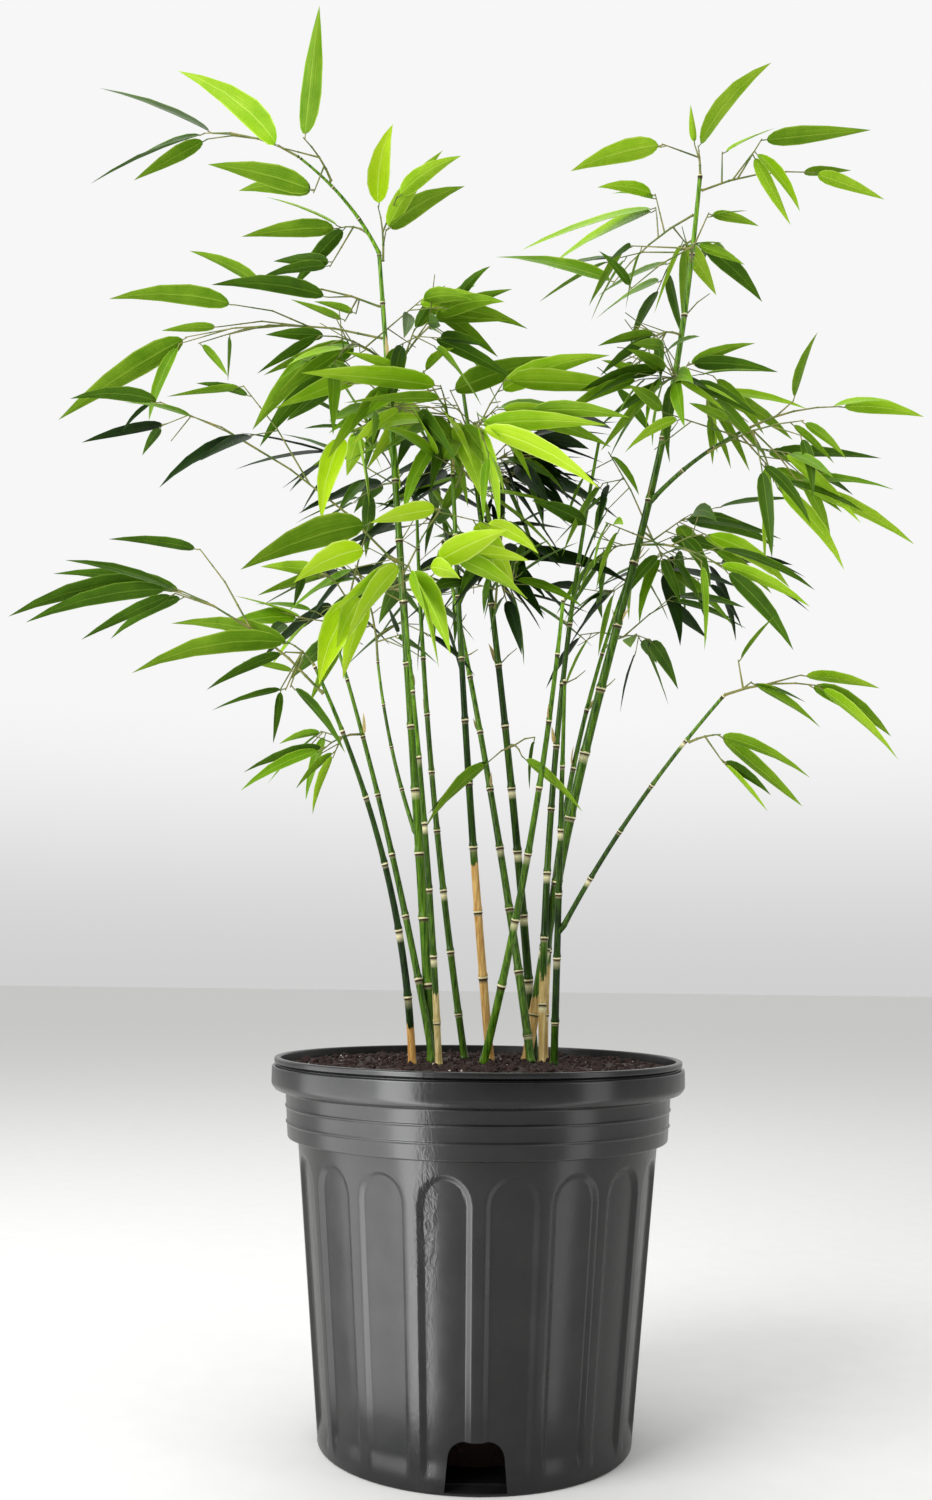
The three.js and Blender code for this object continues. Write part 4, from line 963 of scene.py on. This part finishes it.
COLLAR_END = 0.04
ROOT_BELOW = 6.0  # how far down its culm a bough's foot is rooted


def cane_joint():
    """One internode, modelled upright at radius 1, from node to node."""
    joint = model(bpy.ops.mesh.primitive_circle_add, "joint", vertices=CANE_SIDES, radius=JOINT[0][0],
                  fill_type="NOTHING")
    with editing(joint):
        draw_up(JOINT)
    return taken(joint)


def nodes_of(limb):
    """Shares of a cane's length where its nodes are, moved together along it by its shift."""
    count = limb.internodes()
    return [0.0] + [(i + limb.shift) / count for i in range(1, count)] + [1.0]


def cane(solid, limb, joint, look, fresh, dry_top=0, tan=0, root=None):
    """A cane in place of its solid: the internode laid end on end along the limb's line, closed at
    both ends. A bough's foot is carried on to its root, inside the culm that bears it."""
    name = solid + "_cane"
    shape, faces = joint
    parts = Parts()
    nodes = nodes_of(limb)
    count = len(nodes) - 1
    chord = limb.point(1) - limb.point(0)
    side = Vector((-chord.y, chord.x, 0))
    side = side.normalized() if side.length > 1 else Vector((1, 0, 0))
    rng = np.random.default_rng(len(name) * 1000 + int(limb.point(1).z))
    for i in range(count):
        points, marks = [], []
        wax = rng.uniform(*(UPPER_BLOOM if limb.point(nodes[i + 1]).z > UPPER_Z else BLOOM))
        tender = YOUNG * max(0, (i / count - YOUNG_FROM) / (1 - YOUNG_FROM))
        glow = clamp(fresh + tender + rng.uniform(-FRESH_SPREAD, FRESH_SPREAD))
        for x, y, z in shape:
            share = lerp(nodes[i], nodes[i + 1], z / INTERNODE)
            at = limb.point(share)
            along = limb.tangent(share)
            across = (side - along * side.dot(along)).normalized()
            points.append(at + (across * x + along.cross(across) * y) * limb.girth(share))
            below = INTERNODE - z
            bloom = clamp((wax - below) / BLOOM_FADE + 0.5) if below > 0.5 else 1.0
            scar = float(SCAR[0] < below < SCAR[1])
            dry = FULLY_DRY * clamp((dry_top - at.z) / FRAY + 0.5)
            marks.append((glow, bloom, scar, dry, tan))
        parts.add(np.array(points), faces, marks=np.array(marks))
    if root:
        line = [root, limb.point(0), limb.point(COLLAR_END)]
        foot, foot_faces = tube_along(line, [limb.girth(0) * k for k in COLLAR], CANE_SIDES)
        parts.add(foot, foot_faces, marks=np.tile((fresh, 0, 0, 0, tan), (len(foot), 1)))
    piece = parts.piece(name, [look], CANE_MARKS)
    clean(piece, 0.02 * MM, close=True)
    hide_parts(solid)
    settle(piece, 40)


# ---- twigs and leaves ---------------------------------------------------------------------
def twig_of(number, line, row, fine=False):
    """A twig that bears leaves. Its line is jointed, and its row says how its last leaf lies."""
    return SimpleNamespace(number=number, line=line, row=row, fine=fine, leaves=[])


def along_line(line, share):
    step = min(len(line) - 2, math.floor(share * (len(line) - 1)))
    return line[step].lerp(line[step + 1], share * (len(line) - 1) - step)


def deal_leaf(deal, twig, aim_at, fan_axis, k, attempt):
    draw = [deal() for _ in range(4)]
    reach, length = twig.row[2], twig.row[5]
    if k > 0:
        turn = FAN_TURN + FAN_OPENING * k + FAN_SCATTER * (draw[0] - 0.5)
        toward = turned(aim_at, fan_axis, turn if k % 2 else -turn)
        toward.z -= FAN_DROOP * k + FAN_DROOP_DEALT * draw[1]
        toward.normalize()
        length *= (FAN_LENGTH - FAN_SHORTER * k) * (FAN_LEAST + FAN_DEALT * draw[1])
        root = along_line(twig.line, max(FAN_NEAREST, 1 - FAN_SPACING * k))
    else:
        toward = turned(aim_at, fan_axis, LAST_SCATTER * attempt * (draw[0] - 0.5))
        root = along_line(twig.line, 1 - LEAF_SUNK / reach)
    return leaf_at(root, toward, length, draw[2], draw[3])


def leaf_at(root, toward, length, leaning, broad):
    """A leaf whose blade is turned outward from the clump, about its length."""
    out = Vector((root.x, root.y - CLUMP_Y, 0)).normalized()
    lift = aim(heading_of(toward), rise_of(toward) + 90)
    lean = lerp(*LEAF_LEAN, leaning) * (1 if toward.cross(lift).dot(out) < 0 else -1)
    width = length * LEAF_WIDTH * (LEAF_NARROWEST + LEAF_BREADTH * broad)
    return SimpleNamespace(root=root, toward=toward, lift=lift, length=length, width=width,
                           arch=lerp(*LEAF_ARCH, leaning), face=turned(lift, toward, lean))


def fill_row(deal, heading, index):
    turn = lerp(*FILL_TURN, deal()) * (1 if index % 2 else -1)
    rise = lerp(*FILL_RISE, deal())
    reach = lerp(*FILL_REACH, deal())
    pitch = rise - lerp(*FILL_DROOP, deal())
    length = lerp(*FILL_LEAF, deal())
    swing = FILL_SWING + FILL_SWING * deal()
    return [heading + turn, rise, reach, heading + turn * swing, pitch, length, FILL_LEAVES]


class Spray:
    """A foliage mass: its stem, side twigs and leaves, kept where its solid has them."""

    def __init__(self, index, hosts):
        (self.name, host_name, place, filling, self.light, self.finer, self.broad,
         self.rows) = MASSES[index]
        self.index = index
        host = hosts[host_name]
        share = host.share_at(place) if isinstance(host, Culm) else place
        heading, rise, reach = self.rows[0][:3]
        stem = limb_curve(host, share, heading, rise, reach, TWIG_SPRING, STEM_R, Arc)
        self.middle = host.point(share)
        self.stem = stem.points(STEM_STEPS)
        deal = dealer(seed_of(index, 0, 0))
        fills = [fill_row(deal, heading, i) for i in range(filling)]
        self.twigs = [twig_of(0, self.stem, self.rows[0])]
        for number, row in enumerate(self.rows[1:] + fills, 1):
            self.fork(row, number)
        corners = [v.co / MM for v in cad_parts[self.name].data.vertices]
        self.reach = max((c - self.middle).length for c in corners)
        self.low = min(c.z for c in corners)
        tips = KDTree(len(corners))
        for i, corner in enumerate(corners):
            tips.insert(corner, i)
        tips.balance()
        for k in range(MOST_LEAVES):
            self.grow(k, tips)

    def holds(self, at):
        """Whether a place is within the reach of the spray's solid, and not under it."""
        return (at - self.middle).length < self.reach and at.z > self.low

    def fork(self, row, number):
        heading, rise, reach = row[:3]
        start = along_line(self.stem, FORK * min(1, reach / self.rows[0][2]))
        end = self.middle + aim(heading, rise) * reach
        control = start.lerp(end, 0.5)
        control.z += TWIG_ARCH * (end - start).length
        line = Arc(start, control, end).points(1 if reach < LONG_TWIG else 2)
        self.twigs.append(twig_of(number, line, row))

    def grow(self, k, tips):
        """Leaf k of every twig: of its tries, the one whose tip the solid has."""
        for twig in self.twigs:
            heading, pitch, _, count = twig.row[3:]
            if k >= count:
                continue
            roll = dealer(seed_of(self.index, twig.number, 1))() * 180
            aim_at = aim(heading, pitch)
            fan_axis = turned(aim(heading, pitch + 90), aim_at, roll)
            deal = dealer(seed_of(self.index, twig.number, 2 + k))
            for attempt in range(LEAF_TRIES):
                leaf = deal_leaf(deal, twig, aim_at, fan_axis, k, attempt)
                tip = leaf.root + leaf.toward * leaf.length
                if tips.find(tip)[2] < TIP_NEAR:
                    twig.leaves.append(leaf)
                    break


# The blade: share of the length and half width over the widest.
BLADE = [(0.02, 0.37), (0.07, 0.7), (0.17, 0.95), (0.33, 1.0), (0.58, 0.76), (0.81, 0.37)]
BLADE_THICK = 0.3
RIB_THICK = 0.55
# A ring of points round the blade, over its top and back underneath: place across the half
# width, and thickness there.
TOP = 5
RING = [(u, 0) for u in (-1.0, -0.5, 0.0, 0.5, 1.0)]
RING += [(0.5, BLADE_THICK), (0.0, RIB_THICK), (-0.5, BLADE_THICK)]
BLADE_THINNING = 0.6
BLADE_CUP = 0.2  # how far an edge is lifted, of the half width
CUP_POWER = 1.4
RIPPLE = (0.35, 5, 1.5)  # of the cup: how much, how fast along the blade, and how fast across
BLADE_TWIST = 0.5
BLADE_BEND = 0.03
TWIST_FROM = 0.25
STALK = 4.0  # between the twig and the blade
STALK_SHARE = 0.08  # the most of a leaf's length that its stalk may take


def blade_faces():
    """Faces of a blade, and which of them are its underside. Each station is a ring of points;
    the root and the tip are one point each."""
    wide = len(RING)
    rows = [[1 + wide * k + i for i in range(wide)] for k in range(len(BLADE))]
    tip = 1 + wide * len(BLADE)
    faces = [[0, rows[0][(i + 1) % wide], rows[0][i]] for i in range(wide)]
    for low, high in zip(rows, rows[1:]):
        faces += [[low[i], low[(i + 1) % wide], high[(i + 1) % wide], high[i]] for i in range(wide)]
    faces += [[rows[-1][i], rows[-1][(i + 1) % wide], tip] for i in range(wide)]
    return faces, [int(i % wide >= TOP - 1) for i in range(len(faces))]


def blade_points(leaf, rng):
    """A blade's points and where each lies on it, across and along."""
    side = leaf.toward.cross(leaf.face)
    toward, side, face, lift, root = map(np.array, (leaf.toward, side, leaf.face, leaf.lift, leaf.root))
    twist = rng.uniform(-BLADE_TWIST, BLADE_TWIST)
    bend = rng.uniform(-BLADE_BEND, BLADE_BEND)
    phase = rng.uniform(0, 2 * math.pi)
    stalk = min(STALK / leaf.length, STALK_SHARE)
    much, along, across = RIPPLE

    def spine(share):
        reach = stalk + (1 - stalk) * share
        hump = 4 * reach * (1 - reach) * leaf.length
        return root + toward * leaf.length * reach + lift * leaf.arch * hump + side * bend * hump

    points, over = [spine(0)], [(0.5, 0)]
    for share, half in BLADE:
        turn = twist * (share - TWIST_FROM)
        out = side * math.cos(turn) + face * math.sin(turn)
        top = face * math.cos(turn) - side * math.sin(turn)
        wide = half * leaf.width / 2
        for u, thick in RING:
            ripple = 1 + much * math.sin(along * share + phase + across * u)
            cup = BLADE_CUP * abs(u) ** CUP_POWER * wide * ripple
            lifted = cup - thick * (1 - BLADE_THINNING * share)
            points.append(spine(share) + out * u * wide + top * lifted)
            over.append((0.5 + u / 2, share))
    return np.array(points + [spine(1)]), np.array(over + [(0.5, 1)])


TWIG_SIDES = 6
TWIG_NODE = 21.0  # between a twig's nodes
KNUCKLE = 1.35
KNUCKLE_HALF = 0.9
TWIG_TIP = 0.8


def tube_along(line, radii, sides=TWIG_SIDES):
    """A closed tube through points, with a radius at each."""
    points, faces = [], []
    for i, at in enumerate(line):
        along = (line[min(i + 1, len(line) - 1)] - line[max(i - 1, 0)]).normalized()
        across, up = square_to(along)
        for k in range(sides):
            a = 2 * math.pi * k / sides
            points.append(at + (across * math.cos(a) + up * math.sin(a)) * radii[i])
    last = (len(line) - 1) * sides
    for i in range(0, last, sides):
        for k in range(sides):
            a, b = i + k, i + (k + 1) % sides
            faces.append([a, b, b + sides, a + sides])
    faces += [[*range(sides)][::-1], [last + k for k in range(sides)]]
    return np.array(points), faces


def wood_along(line, foot, tip):
    """A twig's wood: straight between its joints, with a small knuckle at each node."""
    total = sum((b - a).length for a, b in zip(line, line[1:]))
    places, radii = [], []
    gone = 0.0
    for a, b in zip(line, line[1:]):
        length = (b - a).length
        knots = max(1, round(length / TWIG_NODE))
        for k in range(knots):
            for off, swell in ((0.0, KNUCKLE), (KNUCKLE_HALF, 1.0), (length / knots - KNUCKLE_HALF, 1.0)):
                share = (k * length / knots + off) / length
                places.append(a.lerp(b, share))
                radii.append(lerp(foot, tip, (gone + share * length) / total) * swell)
        gone += length
    return tube_along(places + [line[-1]], radii + [tip * TWIG_TIP])


# Finer twigs: place on the twig, turn from it, rise, reach, and their leaves' turn and droop.
FINE_FROM = (0.3, 0.95)
FINE_TURN = (-75, 75)
FINE_RISE = (-40, 30)
FINE_REACH = (16, 40)
FINE_SWING = (-30, 30)
FINE_DROOP = (10, 45)
FINE_LEAVES = 3  # it bears fewer than this
FINE_LEAF = (42, 78)
FINE_FAN = (28, 10)  # degrees to the first leaf beside the last, and more for each after it
FINE_SCATTER = ((-8, 8), (-12, 12))
FINE_PLACES = (0.97, 0.22, 0.3)  # of the last leaf, the spacing, and the nearest to the foot


def finer_twigs(spray, twig, rng):
    """Short twigs on a twig, within the spray's own reach, each with up to two small leaves."""
    grown = []
    for _ in range(spray.finer):
        start = along_line(twig.line, rng.uniform(*FINE_FROM))
        heading = heading_of((twig.line[-1] - twig.line[0]).normalized()) + rng.uniform(*FINE_TURN)
        rise = rng.uniform(*FINE_RISE)
        reach = rng.uniform(*FINE_REACH)
        end = start + aim(heading, rise) * reach
        swung, pitch = heading + rng.uniform(*FINE_SWING), rise - rng.uniform(*FINE_DROOP)
        fine = twig_of(0, [start, end], None, True)
        for k in range(rng.integers(0, FINE_LEAVES)):
            length = rng.uniform(*FINE_LEAF)
            fan = 0 if k == 0 else (FINE_FAN[0] + FINE_FAN[1] * k) * (1 if k % 2 else -1)
            off, tilt = (rng.uniform(*spread) for spread in FINE_SCATTER)
            last, spacing, nearest = FINE_PLACES
            leaf = leaf_at(along_line(fine.line, max(nearest, last - spacing * k)),
                           aim(swung + fan + off, pitch + tilt), length, rng.uniform(), rng.uniform())
            if spray.holds(leaf.root + leaf.toward * length):
                fine.leaves.append(leaf)
        if spray.holds(end):
            grown.append(fine)
    return grown


# Short bare sprigs at a culm's upper nodes: turn, lean along the culm, length, bend and radii.
SPRIG_FROM_Z = 500.0
SPRIG_TURN = (-50, 50)
SPRIG_APART = 130
SPRIG_LEAN = (0.5, 1.5)
SPRIG_REACH = (10, 34)
SPRIG_BEND = (-0.3, 0.5)
SPRIG_SUNK = 0.8
SPRIG_R = (0.6, 0.3)
# Dry husks there: the share of nodes that bear one, its lean outward and its length.
HUSK_FROM_Z = 430.0
HUSKS = 0.45
HUSK_LEAN = (0.15, 0.45)
HUSK_LENGTH = (11, 20)


def node_growth(culm, wood, husks, faces, under, rng):
    """What a culm's upper nodes bear beside the sprays: short bare sprigs and dry husks."""
    for i, share in enumerate(nodes_of(culm)[1:-1], 1):
        at = culm.point(share)
        along = culm.tangent(share)
        turn = 180 * (i % 2) + rng.uniform(*SPRIG_TURN)
        for side in range(rng.integers(0, 2) if at.z > SPRIG_FROM_Z else 0):
            out = aim(turn + SPRIG_APART * side, 0)
            start = at + out * culm.girth(share) * SPRIG_SUNK
            toward = (out + along * rng.uniform(*SPRIG_LEAN)).normalized()
            half = rng.uniform(*SPRIG_REACH) * 0.5
            bent = start + toward * half
            end = bent + (toward + along * rng.uniform(*SPRIG_BEND)).normalized() * half
            wood.add(*wood_along([start, bent, end], *SPRIG_R))
        if at.z > HUSK_FROM_Z and rng.uniform() < HUSKS:
            out = aim(turn + 90, 0)
            toward = (along + out * rng.uniform(*HUSK_LEAN)).normalized()
            root = at + out * culm.girth(share)
            leaf = leaf_at(root, toward, rng.uniform(*HUSK_LENGTH), rng.uniform(), 1)
            points, over = blade_points(leaf, rng)
            husks.add(points, faces, shown=under, uv=over)


# Tints of the leaves, from the darkest: one green at levels of painted light and shade, from painted
# shade for leaves deep in the crown to painted light for leaves at its sunlit edge. Each has its name,
# darker and lighter green, rib, and underside.
TINTS = [
    ("shade", "#0b1a03", "#1a3606", "#345414", "#203c08"),
    ("deep", "#2f4e08", "#42640c", "#84a63a", "#4a7010"),
    ("mid", "#527c08", "#6c9812", "#b0cc4a", "#7a9e22"),
    ("fresh", "#7aaa0a", "#96bf18", "#cfe668", "#9ec230"),
    ("bright", "#a2cc0d", "#bce028", "#e4f688", "#b8d83a"),
    ("husk", "#a58f55", "#cdbb80", "#e2d7a6", "#c2b07a"),
]
GREENS = len(TINTS) - 1
TINT_SPREAD = 0.19
# Painted shade: how much darker the leaves on finer twigs, inside a spray, are tinted.
FINE_PAINTED_SHADE = 0.08
MATT = 0.42
MATT_BACK = 0.55
# Radii of the wood at its foot and tip: of a stem, a side twig, a finer twig and a leaf's stalk.
STEM_WOOD = (1.0, 0.42)
TWIG_WOOD = (0.75, 0.42)
FINE_WOOD = (0.5, 0.35)
STALK_WOOD = (0.5, 0.4)
STALK_SIDES = 5


def foliage(hosts):
    """All sprays, as one piece of wood and one piece of leaves for each tint."""
    sprays = [Spray(i, hosts) for i in range(len(MASSES))]
    wood = Parts()
    blades = {tint[0]: Parts() for tint in TINTS}
    faces, under = blade_faces()
    rng = np.random.default_rng(20)
    for spray in sprays:
        twigs = [twig for twig in spray.twigs if twig.leaves or twig.number == 0]
        root = [spray.middle, spray.stem[0].lerp(spray.stem[1], 0.1)]
        wood.add(*tube_along(root, [STEM_WOOD[0]] * 2))
        twigs += [fine for twig in twigs for fine in finer_twigs(spray, twig, rng)]
        for twig in twigs:
            radii = FINE_WOOD if twig.fine else TWIG_WOOD if twig.number else STEM_WOOD
            wood.add(*wood_along(twig.line, *radii))
            for leaf in twig.leaves:
                stalk = [leaf.root, leaf.root + leaf.toward * (STALK + 1)]
                wood.add(*tube_along(stalk, STALK_WOOD, STALK_SIDES))
                # Painted light and shade: a leaf's tint follows how lit its spray is painted, with a little
                # at random, and is painted darker on the finer twigs inside the spray.
                level = spray.light + rng.uniform(-TINT_SPREAD, TINT_SPREAD) - FINE_PAINTED_SHADE * twig.fine
                tint = TINTS[int(clamp(level, high=0.999) * GREENS)][0]
                leaf.width *= spray.broad
                points, over = blade_points(leaf, rng)
                blades[tint].add(points, faces, shown=under, uv=over)
    for culm in hosts.values():
        if isinstance(culm, Culm):
            node_growth(culm, wood, blades["husk"], faces, under, rng)
    names = [spray.name for spray in sprays]
    piece = wood.piece("twigs", [material(twig_bark)])
    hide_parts(*names)
    settle(piece, 60)
    for name, dark, light, rib, back in TINTS:
        # The underside's lighter green is partly its real paler colour and partly painted light shining
        # through the blade.
        looks = [material(leaf_blade, "leaf_" + name, dark, light, rib, MATT),
                 material(leaf_blade, "leaf_" + name + "_back", dark, back, rib, MATT_BACK)]
        piece = blades[name].piece("leaves_" + name, looks)
        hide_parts(*names)
        settle(piece, 50)


# ---- assembly -----------------------------------------------------------------------------
NODE_SHIFT = (-0.6, 0.4)  # of a culm's nodes along it, in internodes


def plant():
    look = material(bamboo_cane)
    joint = cane_joint()
    hosts = {}
    rng = np.random.default_rng(7)
    for name, foot, tip, bow, sway, radius, *finish in CULMS:
        hosts[name] = Culm(foot, tip, bow, sway, radius, rng.uniform(*NODE_SHIFT))
        cane(name, hosts[name], joint, look, *finish)
    for name, culm, z, heading, rise, reach, spring, radius, fresh in BOUGHS:
        host = hosts[culm]
        limb = limb_curve(host, host.share_at(z), heading, rise, reach, spring, radius, Bough)
        limb.radius = radius
        hosts[name] = limb
        cane(name, limb, joint, look, fresh, root=host.point(host.share_at(z - ROOT_BELOW)))
    foliage(hosts)


pot_wall = pot(material(moulded_plastic))
mix = material(potting_compost)
compost(mix)
scattered("compost_crumbs", mix, *CRUMBS)
scattered("perlite_grains", material(expanded_perlite), *GRAINS)
plant()

# ---- camera, light and floor --------------------------------------------------------------
CAMERA_AT = (-0.0109, -0.938, 0.306)
CAMERA_PITCH = 9.15
CAMERA_ROLL = 0.70
CAMERA_LENS = 32.02


def camera():
    pitch, roll = math.radians(CAMERA_PITCH), math.radians(CAMERA_ROLL)
    ahead = Vector((0, math.cos(pitch), math.sin(pitch)))
    up = Vector((0, -math.sin(pitch), math.cos(pitch)))
    right = Vector((1, 0, 0))
    x = right * math.cos(roll) + up * math.sin(roll)
    y = up * math.cos(roll) - right * math.sin(roll)
    data = bpy.data.cameras.new("camera")
    data.lens = CAMERA_LENS
    data.sensor_width = 36
    data.clip_start, data.clip_end = 0.05, 50
    made = bpy.data.objects.new("camera", data)
    made.matrix_world = Matrix.Translation(CAMERA_AT) @ Matrix((x, y, -ahead)).transposed().to_4x4()
    bpy.context.scene.collection.objects.link(made)
    bpy.context.scene.camera = made


def softbox(name, at, toward, size, power, only=None):
    """A soft rectangular light, on everything or on one piece only."""
    light = model(bpy.ops.object.light_add, name, type="AREA", location=at)
    light.rotation_euler = (Vector(toward) - Vector(at)).to_track_quat("-Z", "Y").to_euler()
    light.data.shape = "RECTANGLE"
    light.data.size, light.data.size_y = size
    light.data.energy = power
    light.visible_camera = False
    if only:
        lit = bpy.data.collections.new(name + "_lit")
        lit.objects.link(only)
        light.light_linking.receiver_collection = lit


# Where each softbox stands, what height it faces, its size and its power.
SOFTBOXES = [
    ("key", (-1.5, -1.25, 1.3), 0.4, (1.3, 1.3), 42),
    ("top", (-0.2, 0.3, 2.3), 0.5, (1.4, 1.4), 12),
    ("fill", (2.0, -1.1, 1.3), 0.4, (0.8, 1.4), 9),
]
# Strip lights close round the pot, on it alone: azimuth from the front, width and power.
SHEENS = [("sheen_left", -46, 0.151, 0.36), ("sheen_edge", -25, 0.036, 0.17),
          ("sheen_right", 37, 0.03, 0.04)]
SHEEN_R = 0.17
SHEEN_Z = 0.133
SHEEN_HEIGHT = 0.26


def studio(pot_wall):
    """A pale backdrop behind the plant, a dim room before it, three softboxes, and the strip
    lights that give the pot its sheen."""
    world = bpy.data.worlds.new("studio")
    world.use_nodes = True
    world.node_tree.nodes.clear()
    node = partial(add, world.node_tree)
    parts = node("SeparateXYZ", {0: node("TexCoord")["Generated"]})
    behind = node("MapRange", {"Value": parts["Y"], "From Min": -0.4, "From Max": 0.6,
                               "To Min": 0.38, "To Max": 0.93})
    raised = node("MapRange", {"Value": parts["Z"], "From Min": -0.02, "From Max": 0.2,
                               "To Min": 0.68, "To Max": 1.0}, interpolation_type="SMOOTHSTEP")
    level = node("Math", {0: behind, 1: raised}, operation="MULTIPLY")
    sky = node("Background", {"Color": "#ffffff", "Strength": level})
    node("OutputWorld", {"Surface": sky})
    bpy.context.scene.world = world
    bpy.context.scene.view_settings.view_transform = "Standard"
    for name, at, facing, size, power in SOFTBOXES:
        softbox(name, at, (0, 0, facing), size, power)
    for name, azimuth, width, power in SHEENS:
        at = Matrix.Rotation(math.radians(azimuth), 4, "Z") @ Vector((0, -SHEEN_R, SHEEN_Z))
        softbox(name, at, (0, 0, SHEEN_Z), (width, SHEEN_HEIGHT), power, pot_wall)
    floor = model(bpy.ops.mesh.primitive_plane_add, "floor", size=30, location=(0, 0, 0))
    floor.data.materials.append(material(studio_paper))


camera()
studio(pot_wall)
